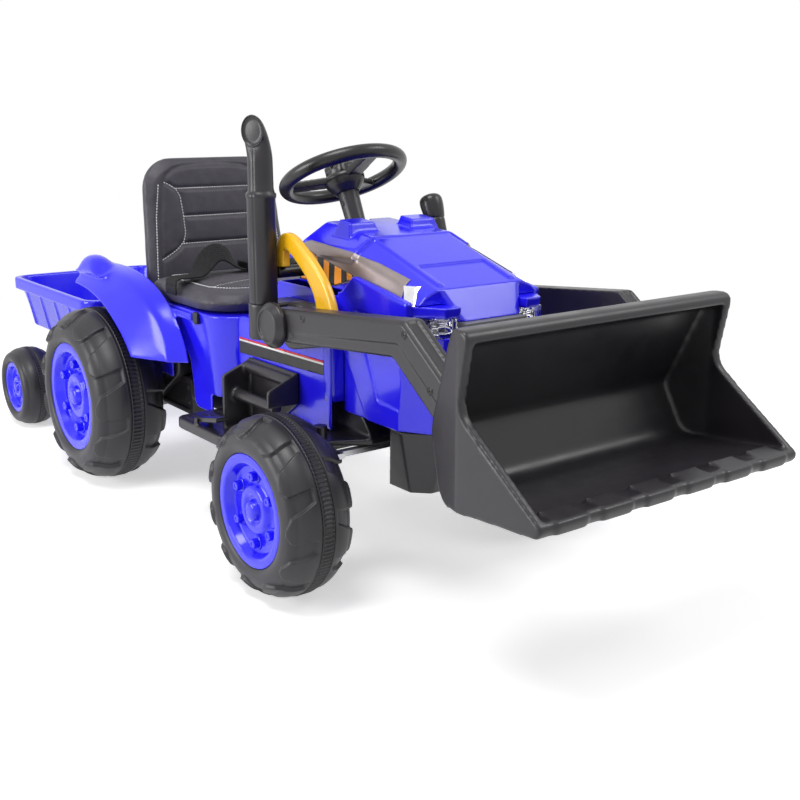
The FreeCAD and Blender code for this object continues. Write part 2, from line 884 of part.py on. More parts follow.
def steering_neck():
    """Sleeve under the wheel that clamps it to the shaft."""
    dash_reach = (steering_z - bonnet_rear_top_z + dash_top_drop) / STEER_AXIS.z
    neck_length = dash_reach - hub_bottom - wall - seat_gap
    sleeve = cone(vec(0, 0, -hub_bottom - neck_length), vec(0, 0, -hub_bottom),
                  neck_radius * neck_foot_share,
                  neck_radius)
    bore = rod(vec(0, 0, -hub_bottom - neck_length - overrun), vec(0, 0, overrun), shaft_radius + run_gap)
    screw = rod(vec(0, -neck_radius - thin_wall / 2, -hub_bottom - neck_length / 2),
                vec(0, -shaft_radius - wall, -hub_bottom - neck_length / 2), thin_wall)
    return steering_frame(sleeve.fuse(screw).cut(bore))


def horn_button(y):
    """Push button in a hub well, with a rounded top and its return gap below."""
    low = hub_top - horn_deep + thin_wall + seat_gap
    button = rod(vec(0, y, low), vec(0, y, hub_top + horn_rise), horn_radius)
    return steering_frame(button.makeFillet(horn_rise / 2, [button.Edges[0]]))


def bonnet_section(x, index, top_z, inset):
    """Half-open cross-section of the bonnet: base, shoulder and top, mirrored."""
    rise = top_z - bonnet_base_z
    base = bonnet_half * bonnet_base_half_shares[index] - inset
    shoulder = bonnet_half * bonnet_shoulder_half_shares[index] - inset
    crown = bonnet_half * bonnet_top_half_shares[index] - inset
    shoulder_z = bonnet_base_z + rise * bonnet_shoulder_z_shares[index] - inset / 2
    low = bonnet_base_z - (overrun if inset > 0 else 0)
    points = [(-base, low), (-shoulder, shoulder_z), (-crown, top_z - inset),
              (crown, top_z - inset), (shoulder, shoulder_z), (base, low)]
    return rounded_wire(points, [0, bonnet_round, bonnet_round, bonnet_round, bonnet_round, 0], "yz", x)


def bonnet_form(inset, reach):
    """Body of the bonnet from its back edge to its front edge, drawn in by inset."""
    back = front_x - bonnet_back - reach
    front = front_x + bonnet_front - inset
    mid = back + (front - back) * bonnet_mid_share
    return loft([bonnet_section(back, 0, bonnet_rear_top_z, inset),
                 bonnet_section(mid, 1, bonnet_mid_top_z, inset),
                 bonnet_section(front, 2, bonnet_front_top_z, inset)])


def bonnet_nose_form(inset):
    """Sloped front face of the bonnet, which reaches lower than its sides."""
    back = front_x + bonnet_front - lamp_shelf_depth
    low = symmetric([(back, nose_bottom_half - inset),
                     (front_x + bonnet_nose - inset, nose_bottom_half - inset)])
    high = symmetric([(back, nose_top_half - inset),
                      (front_x + bonnet_front - inset, nose_top_half - inset)])
    return loft([rounded_wire(low, [0, nose_corner, nose_corner, 0], "xy",
                              bonnet_nose_z - (overrun if inset > 0 else 0)),
                 rounded_wire(high, [0, nose_corner, nose_corner, 0], "xy", bonnet_front_top_z - inset)])


def hood_top(x):
    """Height of the bonnet's top line at x."""
    back = front_x - bonnet_back
    front = front_x + bonnet_front
    mid = back + (front - back) * bonnet_mid_share
    if x < mid:
        return bonnet_rear_top_z + (bonnet_mid_top_z - bonnet_rear_top_z) * (x - back) / (mid - back)
    return bonnet_mid_top_z + (bonnet_front_top_z - bonnet_mid_top_z) * (x - mid) / (front - mid)


def bonnet():
    """Bonnet shell with two raised vents and a raised panel along its middle."""
    skin = joined([bonnet_form(0, 0), bonnet_nose_form(0)])
    start = front_x - vent_back
    end = start + vent_length

    def vent_outline(inset, z):
        return rounded_wire([(start + inset, -vent_outer_y + inset), (end - inset, -vent_outer_y + inset),
                             (end - inset, -vent_inner_y - inset),
                             (start + inset, -vent_inner_y - inset)],
                            soft_edge, "xy", z)

    vent = loft([vent_outline(0, vent_root_z), vent_outline(vent_inset, vent_top_z)])
    front_top = vent_top_z - vent_front_drop
    slope_cut = prism([(start, vent_top_z), (end - vent_slope, front_top), (end, vent_root_z),
                       (end + overrun, vent_top_z + overrun), (start, vent_top_z + overrun)],
                      "xz", -vent_outer_y, -vent_inner_y)
    vent = vent.cut(slope_cut)
    back = front_x - bonnet_back
    ridge_end = end + ridge_lead
    ridge_zone = prism([(back, ridge_root_z), (ridge_end + ridge_run, ridge_root_z),
                        (ridge_end, vent_top_z),
                        (back, vent_top_z)], "xz", -bonnet_half, bonnet_half)
    ridge = bonnet_form(-ridge_rise, 0).common(ridge_zone)
    length = bonnet_back + bonnet_front

    def raised(share, half, rise, depth):
        x = back + length * share
        z = hood_top(x)
        return rounded_wire([(-half, z - depth), (half, z - depth), (half - rise, z + rise),
                             (-half + rise, z + rise)],
                            0, "yz", x)

    panel_half = bonnet_half * hood_panel_half_share
    pocket_half = bonnet_half * hood_pocket_half_share
    panel = loft([raised(hood_panel_start_share, panel_half, hood_panel_rise, wall),
                  raised(hood_panel_end_share, panel_half, hood_panel_rise, wall)])
    pocket = loft([raised(hood_pocket_start_share, pocket_half, hood_panel_rise * 2, run_gap),
                   raised(hood_pocket_end_share, pocket_half, hood_panel_rise * 2, run_gap)])
    outside = joined([skin, ridge, vent, mirrored(vent), panel.cut(pocket)])
    inside = joined([bonnet_form(wall, overrun), bonnet_nose_form(wall)])
    head = dash_axis_point(bonnet_rear_top_z - dash_top_drop)
    boss_way = rod(head - STEER_AXIS * column_boss_length * 2, head + STEER_AXIS * column_boss_length,
                   column_boss_radius + seat_gap)
    return outside.cut([inside, boss_way])


def skirt_form(inset, low, high):
    """Front skirt outline lofted from its narrow bottom to its wide top."""
    def ring(z, half, prow, front):
        crease = front_x - skirt_back + (front + skirt_back) * skirt_crease_share
        points = symmetric([(front_x - skirt_back, half - inset), (crease, half - inset),
                            (front_x + front - inset, prow - inset)])
        return rounded_wire(points, [0, skirt_corner, skirt_corner, skirt_corner, skirt_corner, 0], "xy",
                            z)

    return loft([ring(low, skirt_bottom_half, skirt_prow_half * skirt_bottom_half / skirt_half,
                      skirt_bottom_front),
                 ring(high, skirt_half, skirt_prow_half, skirt_front)])


def cheek():
    """Right cheek of the skirt: a plate that stands up beside the bonnet's foot."""
    outline = stretch(cheek_shares, front_x - skirt_back, front_x + skirt_front,
                      bonnet_base_z - cheek_low, bonnet_base_z + cheek_rise)
    return prism(outline, "xz", -skirt_half, -skirt_half + flank_depth + wall, soft_edge)


def front_skirt():
    """Faceted lower front shell with a shelf for the lamps and a sunk flank each side."""
    outside = skirt_form(0, skirt_bottom_z, bonnet_base_z)
    inside = skirt_form(wall, skirt_bottom_z - overrun, bonnet_base_z + overrun)
    shelf_x = front_x + skirt_front - lamp_shelf_depth
    shell = outside.cut(inside)
    shelf = outside.common(block(shelf_x - wall, lip_x, -skirt_half, skirt_half, lamp_shelf_z - wall,
                                 lamp_shelf_z))
    riser = outside.common(block(shelf_x - wall, shelf_x, -skirt_half, skirt_half, lamp_shelf_z,
                                 bonnet_base_z))
    lamp_top = lamp_shelf_z + lamp_height + seat_gap
    notch = block(shelf_x, lip_x, -body_half, body_half, lamp_shelf_z, lamp_top)
    middle_notch = block(shelf_x, lip_x, -lamp_inner_y, lamp_inner_y, lamp_shelf_z,
                         bonnet_base_z + overrun)
    brow = outside.common(block(shelf_x - wall, lip_x, -skirt_half, skirt_half, lamp_top, bonnet_base_z))
    back = front_x - skirt_back
    front = front_x + skirt_front
    lean = (skirt_half - skirt_bottom_half) / (bonnet_base_z - skirt_bottom_z)
    fields = []
    for shares, top_z, corner in ((flank_shares, flank_top_z, soft_edge * 2),
                                  (flank_rear_shares, flank_rear_z, 0)):
        outline = stretch(shares, back, front, flank_bottom_z, top_z)
        reach = skirt_half - lean * (bonnet_base_z - top_z)
        sunk = prism(outline, "xz", -reach - overrun, -reach + flank_depth, corner)
        floor = prism(outline, "xz", -reach, -reach + flank_depth + wall, corner)
        fields.append((outside.common(sunk), outside.common(floor)))
    pockets = [pocket for pocket, backing in fields]
    backings = [backing for pocket, backing in fields]
    sides = backings + [cheek()]
    body = joined([shell, shelf, riser, brow] + sides + [mirrored(side) for side in sides])
    cuts = [notch, middle_notch, bonnet_nose_form(-seat_gap), bonnet_form(-seat_gap, 0)]
    body = body.cut(cuts + pockets + [mirrored(pocket) for pocket in pockets])
    return max(body.Solids, key=lambda s: s.Volume)


def grille():
    """Slatted front panel on the skirt's face, with a lip between the headlights."""
    back = front_x + skirt_front
    lean = (skirt_front - skirt_bottom_front) / (bonnet_base_z - skirt_bottom_z)

    def face_x(z):
        return back - lean * (bonnet_base_z - z)

    top = bonnet_nose_z - seat_gap
    plate = prism([(face_x(grille_bottom_z), grille_bottom_z),
                   (face_x(grille_bottom_z) + grille_thick, grille_bottom_z),
                   (face_x(top) + grille_thick, top), (face_x(lamp_shelf_z) - lamp_shelf_depth / 2, top),
                   (face_x(lamp_shelf_z) - lamp_shelf_depth / 2, lamp_shelf_z),
                   (face_x(lamp_shelf_z), lamp_shelf_z)],
                  "xz", -grille_half, grille_half)
    pitch = (top - grille_bottom_z - grille_frame) / grille_slats
    slots = []
    for k in range(grille_slats):
        low = grille_bottom_z + grille_frame + k * pitch
        slots.append(block(face_x(low) + grille_thick / 2, front_x + skirt_front + grille_thick * 2,
                           -grille_half + grille_frame, grille_half - grille_frame,
                           low, low + pitch - grille_slat_rise))
    return plate.cut(slots)


def headlight():
    """Right headlight lens block on the lamp shelf."""
    back = front_x + skirt_front - lamp_shelf_depth + wall
    front = back + lamp_depth
    top = min(lamp_shelf_z + lamp_height, bonnet_base_z - seat_gap)
    lens = prism([(back, lamp_shelf_z), (front, lamp_shelf_z), (front - lamp_bevel / 2, top - lamp_bevel),
                  (front - lamp_bevel, top), (back, top)], "xz", -lamp_outer_y, -lamp_inner_y - seat_gap)
    return lens.common(skirt_form(-lamp_proud, skirt_bottom_z, bonnet_base_z))


def corner_lamp():
    """Clear lens wrapped round the bonnet's front corner, as thick as the swollen bonnet form."""
    front = front_x + bonnet_front - corner_lamp_back
    back = front - corner_lamp_long
    low = bonnet_base_z + seat_gap
    high = low + corner_lamp_tall
    swollen = joined([bonnet_form(-corner_lamp_thick, 0), bonnet_nose_form(-corner_lamp_thick)])
    zone = prism([(back + corner_lamp_lean, low), (front + corner_lamp_lean, low), (front, high),
                  (back, high)], "xz",
                 -bonnet_half * 2, -nose_top_half - corner_lamp_thick)
    lens = swollen.common(zone).cut([bonnet_form(0, 0), bonnet_nose_form(0), cheek()])
    return max(lens.Solids, key=lambda s: s.Volume)


def nose():
    """Black bumper block under the skirt, narrower at its foot."""
    def ring(z, back, half, front, corner):
        return rounded_wire(symmetric([(front_x + back, half), (front_x + front - corner, half),
                                       (front_x + front, half - corner)]), soft_edge, "xy", z)

    prow = skirt_prow_half * skirt_bottom_half / skirt_half
    top_half = skirt_bottom_half - nose_inset
    top_front = skirt_bottom_front - nose_inset
    low_corner = (nose_low_half - prow / 2) / 2
    top_corner = (top_half - prow) * nose_corner_share
    solid = loft([ring(nose_bottom_z, nose_back, nose_low_half, nose_low_front, low_corner),
                  ring(skirt_bottom_z, nose_top_back, top_half, top_front, top_corner)])
    hollow = loft([ring(nose_bottom_z + wall, nose_back + wall, nose_low_half - wall,
                        nose_low_front - wall,
                        low_corner),
                   ring(skirt_bottom_z + overrun, nose_top_back + wall, top_half - 2 * wall,
                        top_front - 2 * wall,
                        top_corner)])
    return solid.cut(hollow)


def middle_body():
    """Hollow hump between the seat base and the skirt, stepped up into the cowl under the bonnet."""
    back = base_front_x
    front = front_x - skirt_back
    cowl_back = front_x - bonnet_back - dash_depth
    rise = back + (cowl_back - back) * cowl_rise_share
    round_limit = (rise - back) * cowl_round_share
    radii = [0, 0, 0, 0, min(cowl_corner, round_limit), min(body_corner, round_limit)]

    def form(inset, drop):
        profile = [(back + inset, chassis_top_z - drop), (front + drop, chassis_top_z - drop),
                   (front + drop, bonnet_base_z + drop), (cowl_back + inset, bonnet_base_z + drop),
                   (rise + inset, hump_z - inset), (back + inset, hump_z - inset)]
        lean = rounded_wire(profile, radii, "xz", -body_half + inset)
        return Part.Face(lean).extrude(Y_AXIS * 2 * (body_half - inset))

    axle_way = block(front_x - flange_half_length - wall, front, -body_half - overrun,
                     body_half + overrun,
                     chassis_top_z - overrun, flange_bottom_z + flange_thick + wall)
    shell = form(0, 0).cut([form(wall, overrun), axle_way])
    edges = [e for e in shell.Edges if abs(e.CenterOfMass.z - hump_z) < run_gap
             and abs(abs(e.CenterOfMass.y) - body_half) < run_gap]
    return shell.makeFillet(wall - run_gap, edges) if edges else shell


def dash_axis_point(z):
    """Point of the steering column's axis at height z."""
    return STEER_POINT - STEER_AXIS * ((steering_z - z) / STEER_AXIS.z)


def start_well():
    """Foot point and direction of the start button on the sloped dash."""
    back = front_x - bonnet_back
    height = bonnet_rear_top_z - dash_top_drop - bonnet_base_z
    along = vec(dash_depth - dash_lip, 0, height)
    foot = vec(back - dash_depth, -start_y, bonnet_base_z) + along * start_height_share
    normal = vec(-along.z, 0, along.x).normalize()
    return foot, normal


def dash_panel():
    """Black instrument panel that closes the back of the bonnet and guides the steering column."""
    back = front_x - bonnet_back
    top = bonnet_rear_top_z - dash_top_drop
    profile = [(back - dash_depth, bonnet_base_z), (back, bonnet_base_z), (back, top),
               (back - dash_lip, top)]
    panel = prism(profile, "xz", -dash_half, dash_half, [0, 0, 0, soft_edge * 2])
    trim = bonnet_section(back - dash_depth, 0, bonnet_rear_top_z, dash_inset)
    panel = panel.common(Part.Face(trim).extrude(X_AXIS * dash_depth * 2))
    hollow = prism([(back - dash_depth + 3 * wall, bonnet_base_z - overrun),
                    (back + overrun, bonnet_base_z - overrun),
                    (back + overrun, top - wall), (back - dash_lip + wall, top - wall)], "xz",
                   -dash_half + 4 * wall, dash_half - 4 * wall)
    panel = panel.cut(hollow)
    head = dash_axis_point(top)
    boss = rod(head - STEER_AXIS * column_boss_length, head + STEER_AXIS * wall, column_boss_radius)
    bore = rod(head - STEER_AXIS * column_boss_length * 2, head + STEER_AXIS * column_boss_length,
               shaft_radius + run_gap)
    foot, normal = start_well()
    well = rod(foot - normal * start_deep, foot + normal * start_deep, start_radius + seat_gap)
    guide = rod(foot - normal * start_deep, foot, start_radius + wall)
    return joined([panel, boss, guide]).cut([bore, well])


def start_button():
    """Round push button in the dash, held by its guide."""
    foot, normal = start_well()
    return rod(foot - normal * start_deep, foot + normal * start_rise, start_radius)


def base_form(inset, low, high):
    """Seat base outline, lofted from its drawn-in foot to its top."""
    def ring(z, half):
        points = symmetric([(rear_x - base_back + inset, half - inset),
                            (base_front_x - inset, half - inset)])
        radii = [base_back_corner, base_front_corner, base_front_corner, base_back_corner]
        return rounded_wire(points, radii, "xy", z)

    return loft([ring(low, base_low_half), ring(high, base_half)])


def seat_base():
    """Open-bottomed blue plinth with rounded front corners, side windows and aprons by the footboards."""
    def arch(radius, inner_y):
        centre = vec(rear_x, -inner_y, rear_wheel_radius)
        side = rod(centre, centre - Y_AXIS * rear_wheel_width, radius)
        return [side, mirrored(side)]

    arch_radius = rear_wheel_radius + arch_gap
    outside = base_form(0, chassis_top_z, base_top_z).cut(arch(arch_radius, arch_inner_y))
    inside = base_form(wall, chassis_top_z - overrun, base_top_z - wall)
    inside = inside.cut(arch(arch_radius + wall, arch_inner_y - wall))
    back = rear_x + arch_radius * side_window_back_share
    front = rear_x + side_window_reach
    end = front_x - rest_front - rest_length - apron_gap
    window = prism([(back, chassis_top_z - overrun), (front, chassis_top_z - overrun),
                    (front, side_window_top_z), (back, side_window_top_z)], "xz",
                   -base_half - overrun, -base_low_half + 2 * wall, [0, 0, side_window_corner, 0])
    apron = prism([(front, chassis_top_z), (front, apron_low_z), (end, apron_low_z), (end, chassis_top_z)],
                  "xz", -base_low_half, -base_low_half + wall, [0, side_window_corner, 0, 0])
    shell = outside.cut([inside, window, mirrored(window)])
    return joined([shell, apron, mirrored(apron)])


def battery():
    """Sealed battery box on the pan, under the seat."""
    x = rear_x + battery_back
    points = symmetric([(x, battery_width / 2), (x + battery_length, battery_width / 2)])
    case = prism(points, "xy", chassis_top_z, chassis_top_z + battery_height, battery_corner)
    posts = [rod(vec(x + battery_length / 4, y, chassis_top_z + battery_height),
                 vec(x + battery_length / 4, y, chassis_top_z + battery_height + wall * 2), wall)
             for y in (-battery_width / 4, battery_width / 4)]
    return joined([case] + posts)


def gearbox():
    """Right drive gearbox: round housings over the axle and the motor, with the motor can inside."""
    axle = vec(rear_x, 0, rear_wheel_radius)
    front = vec(rear_x + gearbox_front, 0, rear_wheel_radius + gearbox_front_rise)
    span = front - axle
    angle = math.atan2(span.z, span.x)
    tilt = math.acos((gearbox_radius - gearbox_front_radius) / span.Length)
    points = []
    for centre, radius in ((axle, gearbox_radius), (front, gearbox_front_radius)):
        for sign in (1, -1):
            turn = angle + sign * tilt
            points.append((centre.x + radius * math.cos(turn), centre.z + radius * math.sin(turn)))
    web = prism([points[0], points[1], points[3], points[2]], "xz", -gearbox_outer_y, -gearbox_inner_y)
    big = rod(axle - Y_AXIS * gearbox_outer_y, axle - Y_AXIS * gearbox_inner_y, gearbox_radius)
    small = rod(front - Y_AXIS * gearbox_outer_y, front - Y_AXIS * gearbox_inner_y, gearbox_front_radius)
    motor = rod(front - Y_AXIS * gearbox_inner_y, front - Y_AXIS * (gearbox_inner_y - motor_length),
                motor_radius)
    bore = rod(axle - Y_AXIS * rear_face_y, axle, axle_radius + run_gap)
    return joined([web, big, small, motor]).cut(bore)


def rear_axle():
    """Steel rod through both gearboxes and both rear wheels."""
    end = rear_face_y - rear_wheel_width * sleeve_out_share
    return rod(vec(rear_x, -end, rear_wheel_radius), vec(rear_x, end, rear_wheel_radius), axle_radius)


def cushion_ring(z, inset, corner_inset):
    """Plan outline of the cushion at height z, drawn in by inset."""
    x0 = rear_x + cushion_back + inset
    x1 = rear_x + cushion_back + cushion_length - inset
    points = symmetric([(x0, cushion_half - inset), (x1, cushion_half - inset)])
    front = cushion_front_corner - corner_inset
    return rounded_wire(points, [cushion_back_corner, front, front, cushion_back_corner], "xy", z)


def seat_cushion():
    """Crowned cushion with drawn-in sides and a sewn channel round its top."""
    low = base_top_z + seat_gap
    height = cushion_height
    body = loft([cushion_ring(low, cushion_pull, 0),
                 cushion_ring(low + height * cushion_waist_share, 0, 0),
                 cushion_ring(low + height * cushion_brow_share, cushion_brow_inset,
                              cushion_brow_inset / 2),
                 cushion_ring(low + height, cushion_top_inset, cushion_top_inset / 2),
                 cushion_ring(low + height + cushion_crown, cushion_half / 2, cushion_top_inset)])
    groove_z = low + height
    ring = loft([cushion_ring(groove_z - channel_depth, cushion_top_inset, cushion_top_inset / 2),
                 cushion_ring(groove_z + cushion_crown, cushion_top_inset, cushion_top_inset / 2)])
    core = loft([cushion_ring(groove_z - channel_depth, cushion_top_inset + channel_width,
                              cushion_top_inset / 2),
                 cushion_ring(groove_z + cushion_crown, cushion_top_inset + channel_width,
                              cushion_top_inset / 2)])
    return body.cut(ring.cut(core))


def back_outline(inset, depth):
    """Seat back outline in its own leaning plane, at a depth behind its front face."""
    foot = base_top_z + seat_gap
    top = foot + back_height - inset
    points = [(-back_half + inset, foot), (-back_top_half + inset, top), (back_top_half - inset, top),
              (back_half - inset, foot)]
    wire = rounded_wire(points, [back_foot_corner, back_corner, back_corner, back_foot_corner], "yz", 0)
    x = rear_x + cushion_back - back_gap - depth
    wire.translate(vec(x, 0, 0))
    return wire


def lean_back(shape):
    """Shears a seat back piece so that its top leans to the rear and its foot stays flat."""
    matrix = FreeCAD.Matrix()
    slope = back_lean / back_height
    matrix.A13 = -slope
    matrix.A14 = slope * base_top_z
    return shape.transformGeometry(matrix)


def seat_back():
    """Padded back with a drawn-in edge and three sewn channels across its front."""
    body = loft([back_outline(back_pull * 2, 0), back_outline(0, back_thick / 3),
                 back_outline(0, back_thick * back_belly_share),
                 back_outline(back_pull, back_thick)])
    face = rear_x + cushion_back - back_gap
    channels = []
    for share in back_rows_shares:
        z = base_top_z + back_height * share
        half = back_top_half * back_row_half_share
        channels.append(block(face - channel_depth, face + overrun, -half, half, z - channel_width / 2,
                              z + channel_width / 2))
    return lean_back(body.cut(channels))


def seat_latches():
    """Small black latch tab on each side of the seat base."""
    x = base_front_x - base_front_corner - latch_width * 2
    top = base_top_z
    tab = prism([(x, top - latch_height), (x + latch_width, top - latch_height), (x + latch_width, top),
                 (x, top)],
                "xz", -base_half - latch_thick, -base_half + latch_thick * 2, soft_edge)
    tab = tab.cut(base_form(0, chassis_top_z, base_top_z))
    return both(max(tab.Solids, key=lambda s: s.Volume))


def lap_belt():
    """Two webbing straps over the cushion's edges, each ending at the buckle."""
    x = rear_x + cushion_back + cushion_length * belt_x_share
    top = base_top_z + seat_gap + cushion_height + cushion_crown + seat_gap
    side = cushion_half + seat_gap
    inner = buckle_length / 2
    low = base_top_z + belt_drop
    outside = [(-side - belt_thick, low), (-side - belt_thick, top - belt_bend / 2),
               (-side + cushion_brow_inset, top + belt_thick), (-inner, top + belt_thick), (-inner, top),
               (-side + cushion_brow_inset, top), (-side, top - belt_bend / 2), (-side, low)]
    radii = [0, belt_bend / 2, belt_bend, 0, 0, belt_bend, belt_bend / 2, 0]
    strap = prism(outside, "yz", x, x + belt_width, radii)
    return both(strap)


def belt_buckle():
    """Buckle body on the middle of the cushion, between the two straps."""
    x = rear_x + cushion_back + cushion_length * belt_x_share + belt_width / 2
    top = base_top_z + seat_gap + cushion_height + cushion_crown + seat_gap
    half = buckle_length / 2 - seat_gap
    points = [(x - buckle_width / 2, -half), (x + buckle_width / 2, -half), (x + buckle_width / 2, half),
              (x - buckle_width / 2, half)]
    body = prism(points, "xy", top, top + buckle_height, soft_edge * 2)
    end = half * buckle_press_share
    press = prism([(x - buckle_width / 4, 0), (x + buckle_width / 4, 0), (x + buckle_width / 4, end),
                   (x - buckle_width / 4, end)], "xy", top + buckle_height / 2,
                  top + buckle_height + buckle_tongue / 2, soft_edge)
    return joined([body, press])


def fender_line(shares, y, back, front, crown):
    """Points of a fender's top line at one y, from its back to its front."""
    return [vec(back + (front - back) * s, y, fender_low_z + (crown - fender_low_z) * t) for s,
            t in shares]


def fender_band(shares, y, back, front, crown):
    """Thin curved section of a fender, a skin's thickness below its top line."""
    outer = fender_line(shares, y, back, front, crown)
    inner = []
    for i, p in enumerate(outer):
        along = outer[min(i + 1, len(outer) - 1)] - outer[max(i - 1, 0)]
        along.normalize()
        inner.append(p + vec(along.z, 0, -along.x) * fender_skin)
    top = Part.BSplineCurve()
    top.interpolate(outer)
    under = Part.BSplineCurve()
    under.interpolate(inner)
    edges = [top.toShape(), Part.LineSegment(outer[-1], inner[-1]).toShape(), under.toShape(),
             Part.LineSegment(inner[0], outer[0]).toShape()]
    return Part.Wire(edges)


def fender():
    """Right mudguard: a skin that falls from the seat's side over the tyre, with a lamp pod."""
    back = rear_x - fender_rear_reach
    front = rear_x + fender_front_reach
    inner = -fender_inner_y
    outer_crown = (-fender_outer_y, back + fender_outer_back, front - fender_outer_front,
                   fender_outer_crown_z)
    guard = loft([fender_band(fender_crown_shares, inner, back, front, fender_crown_z),
                  fender_band(fender_crown_shares, -fender_mid_y, back, front - fender_outer_front / 4,
                              fender_crown_z - fender_skin),
                  fender_band(fender_outer_shares, *outer_crown)])
    line = fender_line(fender_crown_shares, inner, back, front, fender_crown_z - fender_skin / 2)
    side = [(p.x, p.z) for p in line]
    side_wall = prism(side + [(line[-2].x, fender_low_z),
                              (line[-3].x, fender_wall_low_z), (back, fender_wall_low_z)],
                      "xz", inner - fender_skin, inner)
    foot_end = base_front_x - base_front_corner - latch_width * 2 - soft_edge
    foot = block(rear_x, foot_end, inner, -base_low_half, fender_wall_low_z, base_top_z - wall)

    def pod_ring(inset, z):
        x1 = rear_x + pod_front
        x0 = x1 - pod_length
        half = pod_width / 2
        return rounded_wire([(x0 + inset, -pod_y - half + inset), (x1 - inset, -pod_y - half + inset),
                             (x1 - inset, -pod_y + half - inset), (x0 + inset, -pod_y + half - inset)],
                            pod_inset, "xy", z)

    pod_mid_z = (pod_low_z + pod_top_z * 2) / 3
    pod = loft([pod_ring(0, pod_low_z), pod_ring(pod_inset / 4, pod_mid_z),
                pod_ring(pod_inset, pod_top_z)])
    body = joined([guard, side_wall, foot, pod]).cut(base_form(0, chassis_top_z, base_top_z))
    return max(body.Solids, key=lambda s: s.Volume)


def footrest():
    """Right footboard with ribs and a kerb, and the short ladder on the body side above it."""
    front = front_x - rest_front
    back = front - rest_length
    low = rest_top_z - rest_thick
    board = prism([(back, -rest_outer_y), (front, -rest_outer_y), (front, -chassis_half),
                   (back, -chassis_half)],
                  "xy", low, rest_top_z, [rest_corner, rest_corner, 0, 0])
    pieces = [board]
    span = rest_outer_y - chassis_half - 2 * rest_kerb
    for k in range(rest_tread_count):
        y = -rest_outer_y + rest_kerb + span * (k + 0.5) / rest_tread_count
        pieces.append(block(back + rest_corner, pedal_place().x - 2 * pedal_ear, y - rest_tread_width / 2,
                            y + rest_tread_width / 2, rest_top_z, rest_top_z + rest_tread_rise))
    rear_cheek = front_x - ladder_rear
    front_cheek = front_x - ladder_front
    cheek = [(-ladder_outer_y, rest_top_z), (-ladder_outer_y, ladder_shoulder_z),
             (-body_half, ladder_top_z),
             (-body_half, rest_top_z)]
    upper = [(-ladder_outer_y, ladder_clear_z), (-ladder_outer_y, ladder_shoulder_z),
             (-body_half, ladder_top_z),
             (-body_half, ladder_clear_z)]
    pieces.append(prism(cheek, "yz", rear_cheek, rear_cheek + ladder_cheek, [0, soft_edge, soft_edge, 0]))
    pieces.append(prism(upper, "yz", front_cheek - ladder_cheek, front_cheek,
                        [0, soft_edge, soft_edge, 0]))
    pieces.append(prism([(rear_cheek, rest_top_z), (front, rest_top_z), (front_cheek, ladder_clear_z),
                         (front_cheek, ladder_top_z), (rear_cheek, ladder_top_z)], "xz",
                        -body_half - ladder_back_thick, -body_half))
    for share in rung_z_shares:
        z = rest_top_z + (ladder_top_z - rest_top_z) * share
        y = -body_half - (ladder_outer_y - body_half) * (1 - share) - rung_radius * rung_y_share
        end = front_cheek - ladder_cheek / 2
        if z - rung_radius < ladder_clear_z:
            end = front_cheek - (ladder_clear_z - z + rung_radius)
        pieces.append(rod(vec(rear_cheek + ladder_cheek / 2, y, z), vec(end, y, z), rung_radius))
    return joined(pieces)


def pedal_place():
    """Hinge point of the accelerator pedal on the right footboard."""
    x = front_x - rest_front - pedal_front_gap - pedal_length
    return vec(x, -rest_outer_y + pedal_outer_gap, rest_top_z + pedal_pin_rise)


def pedal():
    """Wedge-shaped accelerator pedal on a cross pin at its heel."""
    heel = pedal_place()
    top = heel.z + pedal_rise
    toe = heel.x + pedal_length
    wedge = [(heel.x, heel.z - pedal_thick / 2 + seat_gap), (toe, top - pedal_thick), (toe, top),
             (heel.x, heel.z + pedal_thick / 2)]
    plate = prism(wedge, "xz", heel.y, heel.y + pedal_width, soft_edge / 2)
    pin = rod(heel - Y_AXIS * pedal_ear, heel + Y_AXIS * (pedal_width + pedal_ear), pedal_pin_radius)
    return joined([plate, pin])


def pedal_ears():
    """Two ears on the footboard that hold the pedal's pin."""
    heel = pedal_place()
    ears = []
    for y in (heel.y - pedal_ear - seat_gap, heel.y + pedal_width + seat_gap):
        ear = block(heel.x - pedal_ear, heel.x + pedal_ear, y, y + pedal_ear, rest_top_z,
                    heel.z + pedal_ear)
        ears.append(ear)
    hole = rod(heel - Y_AXIS * pedal_length, heel + Y_AXIS * pedal_length, pedal_pin_radius + run_gap)
    return [ear.cut(hole) for ear in ears]


def tower_outline():
    """Side view of a loader tower, from the stack's foot to the toe under the arm."""
    x0 = front_x - stack_back - stack_radius - thin_wall
    x1 = pivot_x + tower_front
    return [(x0, stack_base_z), (x0, pivot_z - tower_drop), (x1, pivot_z - tower_drop * tower_toe_share),
            (x1 - tower_front / 2, pivot_z + tower_rise), (pivot_x - tower_back / 4, stack_base_z)]


def tower(with_stack):
    """Loader tower on the body side: a boot-shaped fairing with the pivot pin of the arm."""
    plate = prism(tower_outline(), "xz", -tower_y, -body_half,
                  [soft_edge, tower_heel, soft_edge * 3, soft_edge * 3, soft_edge * 3])
    shoulder = rod(vec(pivot_x, -tower_y, pivot_z), vec(pivot_x, -arm_inner_y + seat_gap, pivot_z),
                   tower_boss_radius)
    pin = rod(vec(pivot_x, -tower_y, pivot_z), vec(pivot_x, -arm_outer_y + seat_gap, pivot_z),
              pivot_radius)
    pieces = [plate, shoulder, pin]
    if with_stack:
        x = front_x - stack_back
        low = pivot_z - tower_drop / 2
        pieces.append(rod(vec(x, -stack_y, low), vec(x, -stack_y, stack_base_z), stack_radius))
        pieces.append(block(x - stack_radius, x + stack_radius, -stack_y, -body_half - overrun, low,
                            stack_base_z))
    return joined(pieces)


